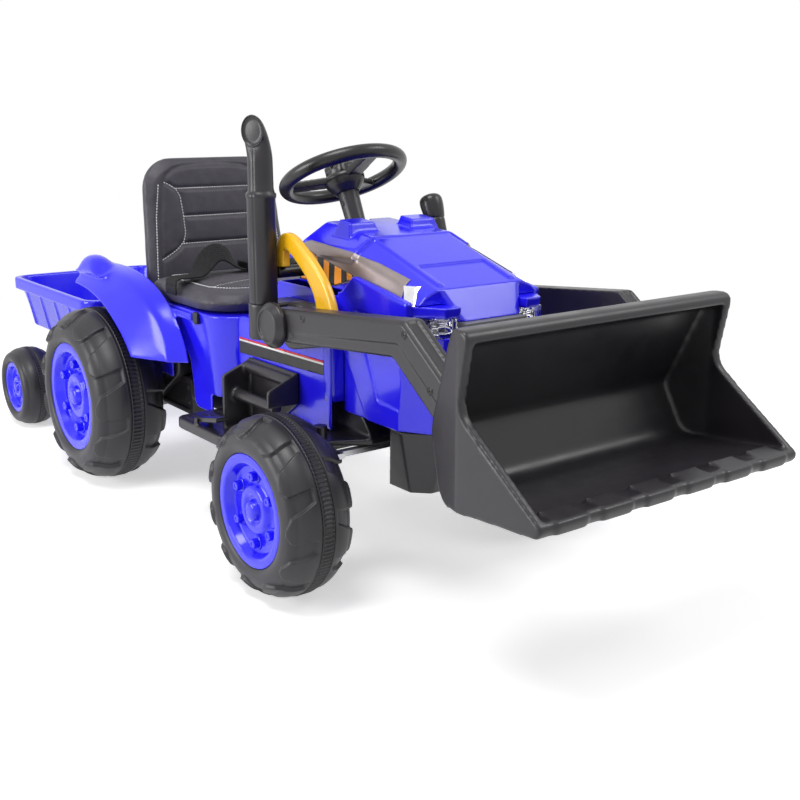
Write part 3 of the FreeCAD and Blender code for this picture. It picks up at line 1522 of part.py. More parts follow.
def exhaust_stack():
    """Upright pipe with a collar and a bent, slant-cut open tip."""
    x = front_x - stack_back
    low = vec(x, -stack_y, stack_base_z)
    collar = vec(x, -stack_y, stack_collar_z)
    collar_top = vec(x, -stack_y, stack_collar_z + stack_collar_height)
    bend = vec(x, -stack_y, stack_bend_z)
    tip = bend + vec(-stack_tip_back, -stack_tip_out, stack_tip_rise)
    pipe = joined([rod(low, collar, stack_radius),
                   rod(collar, collar_top, stack_radius + stack_collar_rise),
                   rod(collar_top, bend, stack_upper_radius), Part.makeSphere(stack_upper_radius, bend),
                   cone(bend, tip, stack_upper_radius, stack_tip_radius)])
    mouth = -stack_y - stack_mouth_out
    reach = stack_tip_out * 3
    outside = prism([(mouth - stack_mouth_lean, stack_bend_z - reach),
                     (mouth + stack_mouth_lean, stack_bend_z + reach),
                     (mouth - reach, stack_bend_z + reach), (mouth - reach, stack_bend_z - reach)], "yz",
                    x - reach, x + reach)
    lid = block(x - reach, x + reach, -stack_y - reach, -stack_y + reach, stack_top_z,
                stack_top_z + reach)
    bore = cone(bend, tip + (tip - bend), stack_upper_radius - wall,
                stack_tip_radius * 2 - stack_upper_radius - wall)
    trim = lower_trim(x)
    return pipe.cut([outside.cut(trim), lid, bore])


def lower_trim(x):
    """Keeps the straight part of the stack out of the slanted mouth cut."""
    reach = stack_tip_out * 4
    return block(x - reach, x + reach, -stack_y - reach, -stack_y + reach, 0,
                 stack_bend_z - stack_radius * 2)


def arm_outline(high, low):
    """Arm profile with its top and front drawn in by high, its underside and rear by low."""
    top_rear = (pivot_x, pivot_z + arm_rear_radius - high)
    elbow = (front_x + front_reach - elbow_back, arm_head_z)
    leg = (front_x + front_reach - leg_tip_x - elbow[0], leg_tip_z - arm_head_z)
    length = math.hypot(leg[0], leg[1])
    unit = (leg[0] / length, leg[1] / length)
    normal = (unit[1], -unit[0])
    reach = length + leg_width
    tip = (elbow[0] + unit[0] * reach, elbow[1] + unit[1] * reach)
    front_tip = (tip[0] + normal[0] * high, tip[1] + normal[1] * high)
    rear_tip = (tip[0] + normal[0] * (leg_width - low), tip[1] + normal[1] * (leg_width - low))
    head = elbow_point(front_tip, unit, arm_head_z - high)
    inner = elbow_point(rear_tip, unit, arm_head_z - arm_depth + low)
    low_rear = (pivot_x, pivot_z - arm_rear_radius + low)
    return [top_rear, head, front_tip, rear_tip, inner, low_rear]


def elbow_point(tip, unit, z):
    """Where a leg line through its tip meets the level z."""
    run = (tip[1] - z) / unit[1]
    return (tip[0] - unit[0] * run, z)


def arm(bucket_solid):
    """Right loader arm: a bevelled beam with a stepped outer face and a grooved leg."""
    full = arm_outline(0, 0)
    rounds = [0, elbow_round, 0, 0, elbow_round, 0]
    bevel_y = -arm_outer_y + arm_bevel
    plate = prism(full, "xz", bevel_y, -arm_inner_y, rounds)
    bevel = loft([rounded_wire(full, rounds, "xz", bevel_y),
                  rounded_wire(arm_outline(arm_bevel, arm_bevel), rounds, "xz", -arm_outer_y)])
    end = rod(vec(pivot_x, -arm_outer_y, pivot_z), vec(pivot_x, -arm_inner_y, pivot_z), arm_rear_radius)
    body = joined([plate, bevel, end])
    band = arm_outline(arm_depth * arm_band_share, -overrun)
    start = pivot_x + cap_radius + arm_bevel
    band_points = [(start, band[0][1])] + band[1:-1] + [(start, band[-1][1])]
    step = prism(band_points, "xz", -arm_outer_y - overrun, -arm_outer_y + arm_band_depth,
                 [soft_edge, elbow_round / 2, 0, 0, 0, 0])
    shallow = arm_outline(leg_groove_depth, 0)
    proud = arm_outline(-overrun, 0)
    groove = prism([proud[1], proud[2], shallow[2], shallow[1]], "xz", -arm_outer_y + leg_groove_margin,
                   -arm_inner_y - leg_groove_margin)
    bore = rod(vec(pivot_x, -arm_outer_y - overrun, pivot_z),
               vec(pivot_x, -arm_inner_y + overrun, pivot_z),
               pivot_radius + run_gap)
    cut = body.cut([step, groove, bore, bucket_solid])
    return max(cut.Solids, key=lambda piece: piece.Volume)


def pivot_cap():
    """Round stepped cover over the arm's pivot."""
    face = vec(pivot_x, -arm_outer_y, pivot_z)
    straight = rod(face, face - Y_AXIS * (cap_thick - cap_edge), cap_radius)
    bevel = cone(face - Y_AXIS * (cap_thick - cap_edge), face - Y_AXIS * cap_thick, cap_radius,
                 cap_face_radius + thin_wall)
    sunk = rod(face - Y_AXIS * (cap_thick - cap_face_sink), face - Y_AXIS * (cap_thick + overrun),
               cap_face_radius)
    return joined([straight, bevel]).cut(sunk)


def bucket_form(shares, rounds, draw, reach):
    """Bucket solid: a side profile carried across, drawn in towards the back."""
    x0 = lip_x - bucket_depth
    knee = x0 + bucket_depth * bucket_knee_share
    profile = stretch(shares, x0, lip_x, bucket_bottom_z, bucket_bottom_z + bucket_height)
    body = prism(profile, "xz", -bucket_knee_half * 2, bucket_knee_half * 2, rounds)
    plan = symmetric([(x0 - overrun, bucket_back_half - draw), (knee, bucket_knee_half - draw),
                      (lip_x + reach, bucket_front_half - draw)])
    return body.common(prism(plan, "xy", 0, bucket_bottom_z + bucket_height * 2))


def bucket_outside():
    """Bucket before it is hollowed."""
    return bucket_form(bucket_shares, bucket_rounds, 0, 0)


def bucket():
    """Loader bucket with a thick rim and wear pads along its lip."""
    hollow = bucket_form(bucket_hollow_shares, bucket_hollow_rounds, bucket_rim_width, bucket_depth)
    shell = bucket_outside().cut(hollow)
    shell = max(shell.Solids, key=lambda s: s.Volume)
    lip_z = bucket_bottom_z + bucket_height * bucket_shares[2][1]
    toe_z = bucket_bottom_z + bucket_height * bucket_shares[3][1]
    pitch = 2 * (bucket_front_half - bucket_rim_width) / pad_count
    pads = []
    for k in range(pad_count):
        y = -bucket_front_half + bucket_rim_width + (k + 0.5) * pitch
        pads.append(prism([(lip_x - pad_length, lip_z - pad_rise), (lip_x - wall, toe_z), (lip_x, lip_z),
                           (lip_x - wall / 2, lip_z + pad_rise),
                           (lip_x - pad_length, lip_z + pad_rise * 2)], "xz",
                          y - pad_width / 2, y + pad_width / 2))
    return joined([shell] + pads)


def lift_lever():
    """Yellow hooked handle bolted to the inside of the right arm."""
    outer = -arm_inner_y + lever_pad
    foot_x = pivot_x + lever_foot
    apex = (pivot_x - lever_apex_back, lever_apex_z)
    tail = (apex[0], lever_apex_z - lever_hook_drop)
    w = lever_width
    foot = [(foot_x + w * a, pivot_z + w * b) for a, b in lever_foot_shares]
    neck = [(foot_x + w * lever_neck_share, arm_head_z - w / 2)]
    head = [(apex[0] + w * a, apex[1] + w * b) for a, b in lever_head_shares]
    tails = [(tail[0] - w / 2, tail[1]), (tail[0] + w / 2, tail[1])]
    crook = [(apex[0] + w * a, apex[1] + w * b) for a, b in lever_crook_shares]
    points = foot + neck + head + tails + crook
    radii = [0, 0, lever_round, lever_round, lever_round, lever_round, lever_round / 2, lever_round / 2,
             lever_round / 3, lever_round / 3]
    pad = block(foot_x - w / 4, foot_x + w / 2, -arm_inner_y, outer, pivot_z, pivot_z + w)
    return joined([prism(points, "xz", outer, outer + lever_thick, radii), pad])


def lift_grip():
    """Black round hand grip across the lever's tail."""
    x = pivot_x - lever_apex_back
    z = lever_apex_z - lever_hook_drop - grip_radius
    start = vec(x, -arm_inner_y + lever_pad, z)
    return rod(start, start + Y_AXIS * grip_length, grip_radius)


def gear_lever():
    """Leaning lever with a long rounded knob, on a cross pin at its foot."""
    foot = vec(front_x - gear_back, gear_y, gear_pivot_z)
    lean = math.radians(gear_lean)
    along = vec(-math.sin(lean), 0, math.cos(lean))
    neck = foot + along * (gear_length - gear_knob_length)
    top = foot + along * (gear_length - gear_knob_radius)
    pieces = [rod(foot, neck + along * wall, gear_rod_radius),
              cone(neck, top, gear_rod_radius + wall / 2, gear_knob_radius),
              Part.makeSphere(gear_knob_radius, top),
              rod(foot - Y_AXIS * gear_ball_radius, foot + Y_AXIS * gear_ball_radius, gear_ball_radius)]
    return joined(pieces)


def gear_saddle():
    """Small saddle on the bonnet's left side that holds the gear lever's pivot."""
    foot = vec(front_x - gear_back, gear_y, gear_pivot_z)
    half = gear_saddle_half
    low = bonnet_base_z
    cradle = block(foot.x - half, foot.x + half, gear_y - gear_ball_radius - gear_saddle_thick,
                   gear_y + gear_ball_radius + gear_saddle_thick, low, foot.z + gear_ball_radius / 2)
    hollow = rod(foot - Y_AXIS * (gear_ball_radius + seat_gap),
                 foot + Y_AXIS * (gear_ball_radius + seat_gap),
                 gear_ball_radius + seat_gap)
    mouth = block(foot.x - half - overrun, foot.x + half + overrun, gear_y - gear_ball_radius - seat_gap,
                  gear_y + gear_ball_radius + seat_gap, foot.z, foot.z + half * 2)
    return cradle.cut([hollow, mouth])


def hitch_bracket():
    """Forked hitch on the chassis tail, with its drop pin."""
    tail = rear_x - chassis_tail_reach
    low = hitch_z - hitch_gap / 2
    high = hitch_z + hitch_gap / 2
    end = hitch_x - hitch_half
    round_end = hitch_half * hitch_round_share
    plates = [prism(symmetric([(end, hitch_half), (tail, hitch_half)]), "xy", z, z + hitch_plate,
                    [round_end, 0, 0, round_end]) for z in (low - hitch_plate, high)]
    back = block(tail - hitch_back_plate, tail, -hitch_half, hitch_half, low - hitch_plate, chassis_top_z)
    pin = rod(vec(hitch_x, 0, low - hitch_plate * 2), vec(hitch_x, 0, high + hitch_plate * 2),
              hitch_pin_radius)
    head = rod(vec(hitch_x, 0, high + hitch_plate), vec(hitch_x, 0, high + hitch_plate * 2),
               hitch_pin_head)
    return joined(plates + [back, pin, head])


def trailer_drawbar():
    """Drawbar with its eye, two rails under the tub and the axle blocks."""
    low = hitch_z - drawbar_thick / 2
    eye = rod(vec(hitch_x, 0, low), vec(hitch_x, 0, low + drawbar_thick), drawbar_half)
    front = tail_x + tub_length - tub_floor_inset - frame_rail
    half = drawbar_half * drawbar_width_share
    bar = block(front - frame_rail, hitch_x, -half, half, low, low + drawbar_thick)
    rail_low = tub_floor_z - frame_depth
    riser = block(front - frame_rail, front, -frame_half, frame_half, low, tub_floor_z)
    tail = tail_x + tub_floor_inset * 2
    rail = block(tail, front, -frame_half, -frame_half + frame_rail, rail_low, tub_floor_z)
    cross = block(trailer_x - axle_block_half, trailer_x + axle_block_half,
                  -axle_block_y - axle_block_width / 2,
                  axle_block_y + axle_block_width / 2, rail_low, tub_floor_z)
    leg = prism([(trailer_x - axle_block_half, rail_low + overrun),
                 (trailer_x - axle_block_half / 2, trailer_wheel_radius),
                 (trailer_x + axle_block_half / 2, trailer_wheel_radius),
                 (trailer_x + axle_block_half, rail_low + overrun)],
                "xz", -axle_block_y - axle_block_width / 2, -axle_block_y + axle_block_width / 2)
    boss = rod(vec(trailer_x, -axle_block_y - axle_block_width / 2, trailer_wheel_radius),
               vec(trailer_x, -axle_block_y + axle_block_width / 2,
                   trailer_wheel_radius), axle_block_half * axle_boss_share)
    body = joined([eye, bar, riser, rail, mirrored(rail), cross, leg, mirrored(leg), boss,
                   mirrored(boss)])
    pin_hole = rod(vec(hitch_x, 0, low - overrun), vec(hitch_x, 0, low + drawbar_thick + overrun),
                   hitch_pin_radius + run_gap)
    axle_hole = rod(vec(trailer_x, -trailer_face_y, trailer_wheel_radius),
                    vec(trailer_x, trailer_face_y, trailer_wheel_radius), trailer_axle_radius + run_gap)
    return body.cut([pin_hole, axle_hole])


def tub_form(inset, low, high):
    """Trailer tub's block with sloped walls, drawn in by inset."""
    def ring(z, half, extra):
        points = symmetric([(tail_x + tub_rim_width + extra + inset, half - inset),
                            (tail_x + tub_length - tub_rim_width - extra - inset, half - inset)])
        return rounded_wire(points, tub_corner, "xy", z)

    return loft([ring(low, tub_floor_half, tub_floor_inset - tub_rim_width),
                 ring(high, tub_half - tub_rim_width, 0)])


def trailer_tub():
    """Open tub with sloped walls, a turned-down rim and upright ribs."""
    outside = tub_form(0, tub_floor_z, tub_rim_z)
    inside = tub_form(tub_wall, tub_floor_z + tub_wall, tub_rim_z + overrun)
    rim = prism(symmetric([(tail_x, tub_half), (tail_x + tub_length, tub_half)]), "xy",
                tub_rim_z - tub_rim_drop,
                tub_rim_z, tub_corner + tub_rim_width)
    ribs = []
    span = tub_length - 2 * tub_floor_inset - 2 * tub_corner
    slope = (tub_half - tub_rim_width - tub_floor_half) / (tub_rim_z - tub_floor_z)
    for k in range(tub_rib_count):
        x = tail_x + tub_floor_inset + tub_corner + span * k / (tub_rib_count - 1)
        top_y = tub_floor_half + slope * (tub_rim_z - tub_rim_drop - tub_floor_z)
        points = [(-tub_floor_half + wall, tub_floor_z + wall),
                  (-tub_floor_half - tub_rib_proud, tub_floor_z + wall),
                  (-top_y - tub_rib_proud, tub_rim_z - tub_rim_drop / 2),
                  (-top_y + wall, tub_rim_z - tub_rim_drop / 2)]
        rib = prism(points, "yz", x - tub_rib_width / 2, x + tub_rib_width / 2)
        ribs += [rib, mirrored(rib)]
    lip_gap = prism(symmetric([(tail_x + thin_wall, tub_half - thin_wall),
                               (tail_x + tub_length - thin_wall, tub_half - thin_wall)]), "xy",
                    tub_rim_z - tub_rim_drop - overrun, tub_rim_z - wall,
                    tub_corner + tub_rim_width - thin_wall)
    rim_skirt = rim.cut(lip_gap)
    shell = joined([outside, rim_skirt] + ribs).cut(inside)
    return max(shell.Solids, key=lambda s: s.Volume)


def trailer_axle():
    """Steel rod through the axle blocks and both trailer wheels."""
    end = trailer_face_y - trailer_wheel_width * sleeve_out_share
    return rod(vec(trailer_x, -end, trailer_wheel_radius), vec(trailer_x, end, trailer_wheel_radius),
               trailer_axle_radius)


def build():
    """All nodes of the tractor by name."""
    parts = {}
    parts.update(wheel_set("front", front_x, front_wheel_radius, front_wheel_radius, front_wheel_width,
                           front_rim_radius, front_face_y, axle_radius + run_gap, lug_count, nut_count))
    parts.update(wheel_set("rear", rear_x, rear_wheel_radius, rear_wheel_radius, rear_wheel_width,
                           rear_rim_radius, rear_face_y, axle_radius + run_gap, lug_count, nut_count))
    parts.update(wheel_set("trailer", trailer_x, trailer_wheel_radius, trailer_wheel_radius,
                           trailer_wheel_width,
                           trailer_rim_radius, trailer_face_y, trailer_axle_radius + run_gap, 0, 0))
    bucket_solid = bucket_outside()
    right = {
        "knuckle": knuckle(), "fender": fender(), "gearbox": gearbox(), "arm": arm(bucket_solid),
    }
    for name, shape in right.items():
        parts[name + "_right"] = shape
        parts[name + "_left"] = mirrored(shape)
    parts["footrest_right"] = joined([footrest()] + pedal_ears())
    parts["footrest_left"] = mirrored(footrest())
    parts["tower_right"] = tower(True)
    parts["tower_left"] = mirrored(tower(False))
    parts["horn_button_right"] = horn_button(-horn_offset)
    parts["horn_button_left"] = horn_button(horn_offset)
    parts["headlights"] = both(headlight())
    parts["corner_lamps"] = both(corner_lamp())
    parts["pivot_caps"] = both(pivot_cap())
    parts["chassis"] = chassis()
    parts["tie_rod"] = tie_rod()
    parts["steering_shaft"] = steering_shaft()
    parts["steering_wheel"] = steering_wheel()
    parts["steering_neck"] = steering_neck()
    parts["bonnet"] = joined([bonnet(), gear_saddle()])
    parts["front_skirt"] = front_skirt()
    parts["grille"] = grille()
    parts["nose"] = nose()
    parts["middle_body"] = middle_body()
    parts["dash_panel"] = dash_panel()
    parts["start_button"] = start_button()
    parts["seat_base"] = seat_base()
    parts["battery"] = battery()
    parts["rear_axle"] = rear_axle()
    parts["seat_cushion"] = seat_cushion()
    parts["seat_back"] = seat_back()
    parts["seat_latches"] = seat_latches()
    parts["lap_belt"] = lap_belt()
    parts["belt_buckle"] = belt_buckle()
    parts["pedal"] = pedal()
    parts["exhaust_stack"] = exhaust_stack()
    parts["bucket"] = bucket()
    parts["lift_lever"] = lift_lever()
    parts["lift_grip"] = lift_grip()
    parts["gear_lever"] = gear_lever()
    parts["hitch_bracket"] = hitch_bracket()
    parts["trailer_drawbar"] = trailer_drawbar()
    parts["trailer_tub"] = trailer_tub()
    parts["trailer_axle"] = trailer_axle()
    return parts


os.makedirs("parts", exist_ok=True)
for node, shape in build().items():
    shape.exportStep("parts/" + node + ".step")
    print(node, len(shape.Solids), shape.isValid(), round(shape.Volume / 1000.0, 1))
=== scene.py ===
"""Looks of the ride-on tractor toy: moulded shells, ribbed tyres, sewn seat, belt, stickers and lamps."""
import json
import math
import bmesh
import bpy
import numpy as np
from mathutils import Matrix, Vector
from mathutils.bvhtree import BVHTree


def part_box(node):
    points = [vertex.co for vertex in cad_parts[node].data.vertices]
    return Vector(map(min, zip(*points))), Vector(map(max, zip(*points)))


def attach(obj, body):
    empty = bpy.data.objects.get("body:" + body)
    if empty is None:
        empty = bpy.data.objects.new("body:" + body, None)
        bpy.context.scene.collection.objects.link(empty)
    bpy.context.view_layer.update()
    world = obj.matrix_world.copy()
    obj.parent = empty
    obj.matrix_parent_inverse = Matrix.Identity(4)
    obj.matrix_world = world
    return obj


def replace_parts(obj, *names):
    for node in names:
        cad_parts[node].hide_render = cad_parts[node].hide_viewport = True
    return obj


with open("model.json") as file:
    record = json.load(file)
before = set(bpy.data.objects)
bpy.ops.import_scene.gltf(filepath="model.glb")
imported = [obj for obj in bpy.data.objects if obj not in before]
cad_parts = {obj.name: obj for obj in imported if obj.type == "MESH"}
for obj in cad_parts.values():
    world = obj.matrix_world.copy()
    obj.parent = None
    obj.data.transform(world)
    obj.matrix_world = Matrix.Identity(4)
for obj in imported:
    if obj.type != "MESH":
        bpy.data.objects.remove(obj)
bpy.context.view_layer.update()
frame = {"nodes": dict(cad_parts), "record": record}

NODES = frame["nodes"]
scene = bpy.context.scene
SIDES = (("right", -1.0), ("left", 1.0))
MM = 0.001
DOWN = Vector((0.0, 0.0, -1.0))
PATTERN = (0.3, 0.7)


# Materials

def feed(tree, target, values):
    """Sets a node's inputs, and links those whose value is another node's output."""
    for name, value in values.items():
        if isinstance(value, bpy.types.NodeSocket):
            tree.links.new(value, target.inputs[name])
        else:
            target.inputs[name].default_value = value


def add_node(tree, kind, values, **settings):
    made = tree.nodes.new("ShaderNode" + kind)
    for name, value in settings.items():
        setattr(made, name, value)
    feed(tree, made, values)
    return made


def new_material(name):
    """New material with its nodes, its shader and the surface point in metres."""
    mat = bpy.data.materials.new(name)
    mat.use_nodes = True
    tree = mat.node_tree
    return mat, tree, tree.nodes["Principled BSDF"], add_node(tree, "TexCoord", {}).outputs["Object"]


def noise(tree, point, scale, detail=2.0):
    return add_node(tree, "TexNoise", {"Scale": scale, "Detail": detail, "Vector": point}).outputs["Fac"]


def wave(tree, point, direction, scale, distortion=0.0):
    values = {"Scale": scale, "Distortion": distortion, "Vector": point}
    return add_node(tree, "TexWave", values, bands_direction=direction).outputs["Fac"]


def spread(tree, value, ends):
    """Maps the middle of a pattern on to a range."""
    values = dict(zip(("From Min", "From Max", "To Min", "To Max"), PATTERN + ends))
    values["Value"] = value
    return add_node(tree, "MapRange", values).outputs["Result"]


def tint(tree, value, dark, light):
    """Maps the middle of a pattern on to two colours."""
    ramp = add_node(tree, "ValToRGB", {"Fac": value})
    for element, place, colour in zip(ramp.color_ramp.elements, PATTERN, (dark, light)):
        element.position = place
        element.color = (*colour, 1.0)
    return ramp.outputs["Color"]


def bump(tree, height, strength, distance, below=None):
    values = {"Strength": strength, "Distance": distance, "Height": height}
    if below is not None:
        values["Normal"] = below
    return add_node(tree, "Bump", values).outputs["Normal"]


def scaled(colour, share):
    return tuple(min(1.0, c * share) for c in colour)


def plastic(name, colour, rough, grain, strength, coat=0.0, vary=0.10):
    """Moulded plastic: slight colour drift, uneven gloss, and a fine grain over a faint flow ripple."""
    mat, tree, shader, point = new_material(name)
    dark, light = scaled(colour, 1.0 - vary), scaled(colour, 1.0 + vary)
    ripple = bump(tree, noise(tree, point, 22.0, 1.0), 0.05, 0.002)
    feed(tree, shader, {
        "Base Color": tint(tree, noise(tree, point, 9.0), dark, light),
        "Roughness": spread(tree, noise(tree, point, 35.0, 4.0), rough),
        "Normal": bump(tree, noise(tree, point, grain, 3.0), strength, 0.0004, ripple),
        "Coat Weight": coat,
        "Coat Roughness": 0.06,
    })
    return mat


def leather(name, dark, light, rough):
    """Coated leather cloth: pebbled grain, soft creases and a slight sheen."""
    mat, tree, shader, point = new_material(name)
    pebbles = add_node(tree, "TexVoronoi", {"Scale": 620.0, "Vector": point}, feature="DISTANCE_TO_EDGE")
    creases = bump(tree, noise(tree, point, 38.0, 5.0), 0.10, 0.002)
    feed(tree, shader, {
        "Base Color": tint(tree, noise(tree, point, 55.0, 4.0), dark, light),
        "Roughness": spread(tree, noise(tree, point, 120.0, 3.0), rough),
        "Normal": bump(tree, pebbles.outputs["Distance"], 0.35, 0.0006, creases),
        "Sheen Weight": 0.08,
    })
    return mat


def webbing(name):
    """Woven belt: ribs along the strap crossed by fine weft threads."""
    mat, tree, shader, point = new_material(name)
    ribs = wave(tree, point, "X", 95.0, 0.4)
    weft = wave(tree, point, "Y", 210.0)
    feed(tree, shader, {
        "Base Color": tint(tree, weft, (0.0045, 0.0042, 0.0050), (0.0120, 0.0112, 0.0130)),
        "Roughness": spread(tree, noise(tree, point, 300.0), (0.70, 0.90)),
        "Normal": bump(tree, weft, 0.4, 0.0004, bump(tree, ribs, 0.5, 0.0008)),
        "Specular IOR Level": 0.3,
    })
    return mat


def metal(name, colour, rough, streak):
    """Metal with fine drawn streaks along Y."""
    mat, tree, shader, point = new_material(name)
    stretch = add_node(tree, "Mapping", {"Scale": (streak, 12.0, streak), "Vector": point})
    value = noise(tree, stretch.outputs["Vector"], 1.0, 3.0)
    feed(tree, shader, {
        "Base Color": tint(tree, value, scaled(colour, 0.85), colour),
        "Roughness": spread(tree, value, rough),
        "Normal": bump(tree, value, 0.06, 0.0003),
        "Metallic": 1.0,
    })
    return mat


def clear(name, colour, rough):
    """Clear moulded lens with faint flutes."""
    mat, tree, shader, point = new_material(name)
    feed(tree, shader, {
        "Base Color": tint(tree, noise(tree, point, 30.0), scaled(colour, 0.96), colour),
        "Roughness": rough,
        "Normal": bump(tree, wave(tree, point, "Y", 60.0), 0.12, 0.0006),
        "IOR": 1.47,
        "Transmission Weight": 1.0,
    })
    return mat


def film(name, colour, metallic, rough):
    """Printed sticker film: slight flake and an even satin face."""
    mat, tree, shader, point = new_material(name)
    feed(tree, shader, {
        "Base Color": tint(tree, noise(tree, point, 900.0), scaled(colour, 0.88), scaled(colour, 1.08)),
        "Roughness": spread(tree, noise(tree, point, 60.0), rough),
        "Normal": bump(tree, noise(tree, point, 45.0), 0.04, 0.001),
        "Metallic": metallic,
    })
    return mat


BLUE = plastic("blue_moulding", (0.018, 0.011, 0.90), (0.15, 0.22), 700.0, 0.02, coat=0.15, vary=0.04)
BLACK = plastic("black_moulding", (0.0185, 0.0160, 0.0200), (0.30, 0.40), 1500.0, 0.14)
BLACK_FINE = plastic("black_satin", (0.010, 0.0095, 0.011), (0.26, 0.36), 1800.0, 0.08)
TYRE = plastic("tyre_moulding", (0.0175, 0.0155, 0.0190), (0.38, 0.48), 1100.0, 0.12)
GREY = plastic("grille_grey", (0.16, 0.16, 0.17), (0.35, 0.45), 1500.0, 0.10)
YELLOW = plastic("lever_yellow", (0.97, 0.52, 0.012), (0.20, 0.30), 800.0, 0.03, coat=0.2, vary=0.04)
RED = plastic("button_red", (0.60, 0.03, 0.03), (0.20, 0.30), 900.0, 0.03, coat=0.2)
LEATHER = leather("seat_leather", (0.030, 0.027, 0.037), (0.047, 0.042, 0.057), (0.40, 0.54))
THREAD = plastic("white_thread", (0.72, 0.72, 0.72), (0.55, 0.70), 2500.0, 0.30)
WEB = webbing("belt_webbing")
STEEL = metal("drawn_steel", (0.60, 0.60, 0.62), (0.25, 0.38), 400.0)
CHROME = metal("reflector_chrome", (0.92, 0.92, 0.94), (0.04, 0.10), 150.0)
LENS = clear("clear_lens", (0.97, 0.98, 1.0), 0.03)
SILVER = metal("silvered_lens", (0.88, 0.88, 0.92), (0.12, 0.22), 90.0)
BRONZE = film("side_film_bronze", (0.30, 0.25, 0.245), 0.55, (0.28, 0.38))
FILM_BLACK = film("side_film_black", (0.010, 0.009, 0.009), 0.0, (0.38, 0.50))
FILM_ORANGE = film("side_film_orange", (0.95, 0.34, 0.030), 0.0, (0.25, 0.35))
FILM_WHITE = film("side_film_white", (0.85, 0.85, 0.85), 0.0, (0.25, 0.35))
FILM_RED = film("side_film_red", (0.70, 0.03, 0.04), 0.0, (0.25, 0.35))
SLOT_FINISH = {
    "blue_plastic": BLUE, "black_plastic": BLACK, "tyre_plastic": TYRE, "clear_lens": LENS,
    "yellow_plastic": YELLOW, "button_red": RED, "seat_leather": LEATHER, "belt_webbing": WEB,
    "steel": STEEL,
}
OWN_FINISH = {"corner_lamps": SILVER, "grille": GREY, "steering_wheel": BLACK_FINE,
              "seat_latches": BLACK_FINE, "belt_buckle": BLACK_FINE, "lift_grip": BLACK_FINE}
for row in frame["record"]["subparts"]:
    shell = NODES[row["node"]].data
    shell.materials.clear()
    shell.materials.append(OWN_FINISH.get(row["node"], SLOT_FINISH[row["material_slot"]]))


# Moulded shells: the solids with rounded edges. Each row is a voxel size in millimetres and smoothing rounds

MOULD = {
    "bonnet": (1.8, 5), "front_skirt": (1.8, 5), "nose": (2.2, 6), "seat_base": (2.4, 7),
    "middle_body": (2.0, 5), "arm_right": (1.6, 4), "arm_left": (1.6, 4), "bucket": (2.5, 9),
    "footrest_right": (2.0, 7), "footrest_left": (2.0, 7), "tower_right": (2.2, 9), "tower_left": (2.2, 9),
    "trailer_tub": (2.5, 9), "steering_wheel": (1.4, 6), "steering_neck": (1.5, 6), "pivot_caps": (1.0, 3),
    "chassis": (2.5, 5), "pedal": (1.2, 5), "gearbox_right": (2.5, 6), "gearbox_left": (2.5, 6),
    "dash_panel": (1.8, 6), "belt_buckle": (1.0, 6), "battery": (2.0, 5), "hitch_bracket": (1.5, 5),
    "trailer_drawbar": (2.0, 5), "seat_latches": (1.0, 5), "lift_grip": (1.2, 6), "grille": (1.2, 3),
    "knuckle_right": (1.4, 4), "knuckle_left": (1.4, 4),
}
KEEP_SHARE = 0.4


def modify(obj, kind, **values):
    """New modifier with its values set."""
    made = obj.modifiers.new(kind.lower(), kind)
    for name, value in values.items():
        setattr(made, name, value)
    return made


for node, (voxel, rounds) in MOULD.items():
    modify(NODES[node], "REMESH", mode="VOXEL", voxel_size=voxel * MM, use_smooth_shade=True)
    modify(NODES[node], "SMOOTH", factor=0.5, iterations=rounds)
    modify(NODES[node], "DECIMATE", ratio=KEEP_SHARE)


def surface(obj):
    """Search tree of an object's shape with its modifiers."""
    return BVHTree.FromObject(obj, bpy.context.evaluated_depsgraph_get())


def cast(tree, start, way):
    """Where a ray meets a surface, and the normal there that faces the ray."""
    hit, normal, _, _ = tree.ray_cast(start, way)
    if hit is None:
        return None, None
    return hit, normal if normal.dot(way) < 0 else -normal


def run_lengths(points):
    """Length of a 2D line from its start to each point."""
    return np.concatenate([[0.0], np.cumsum(np.hypot(*np.diff(points, axis=0).T))])


def directions(points):
    """Unit direction of a 2D line at each point."""
    along = np.gradient(points, axis=0)
    return along / np.linalg.norm(along, axis=1, keepdims=True)


def smooth_faces(mesh):
    mesh.polygons.foreach_set("use_smooth", [True] * len(mesh.polygons))


def piece(name, verts, faces, body, material):
    """New smooth mesh that rides on a body."""
    mesh = bpy.data.meshes.new(name)
    mesh.from_pydata([tuple(v) for v in verts], [], faces)
    smooth_faces(mesh)
    mesh.materials.append(material)
    mesh.update()
    obj = bpy.data.objects.new(name, mesh)
    scene.collection.objects.link(obj)
    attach(obj, body)
    return obj


def strip(rows, count, loop=True):
    """Quads between rows of count points, closed round each row if loop."""
    quads = []
    for i in range(rows - 1):
        for k in range(count if loop else count - 1):
            m = (k + 1) % count
            quads.append((i * count + k, i * count + m, (i + 1) * count + m, (i + 1) * count + k))
    return quads


def capped(rows, count):
    """Quads of a closed strip with a face on each end."""
    last = (rows - 1) * count
    return strip(rows, count) + [tuple(reversed(range(count))), tuple(range(last, last + count))]


def flipped(faces, needed):
    return [f[::-1] for f in faces] if needed else faces


def shifted(faces, base):
    """Faces for points that come after base others."""
    return [tuple(base + v for v in f) for f in faces]


def face_out(obj):
    """Turns a closed mesh's faces outwards."""
    bm = bmesh.new()
    bm.from_mesh(obj.data)
    bmesh.ops.recalc_face_normals(bm, faces=bm.faces[:])
    bm.to_mesh(obj.data)
    bm.free()
    return obj


def circle(steps):
    return [2 * math.pi * k / steps for k in range(steps)]


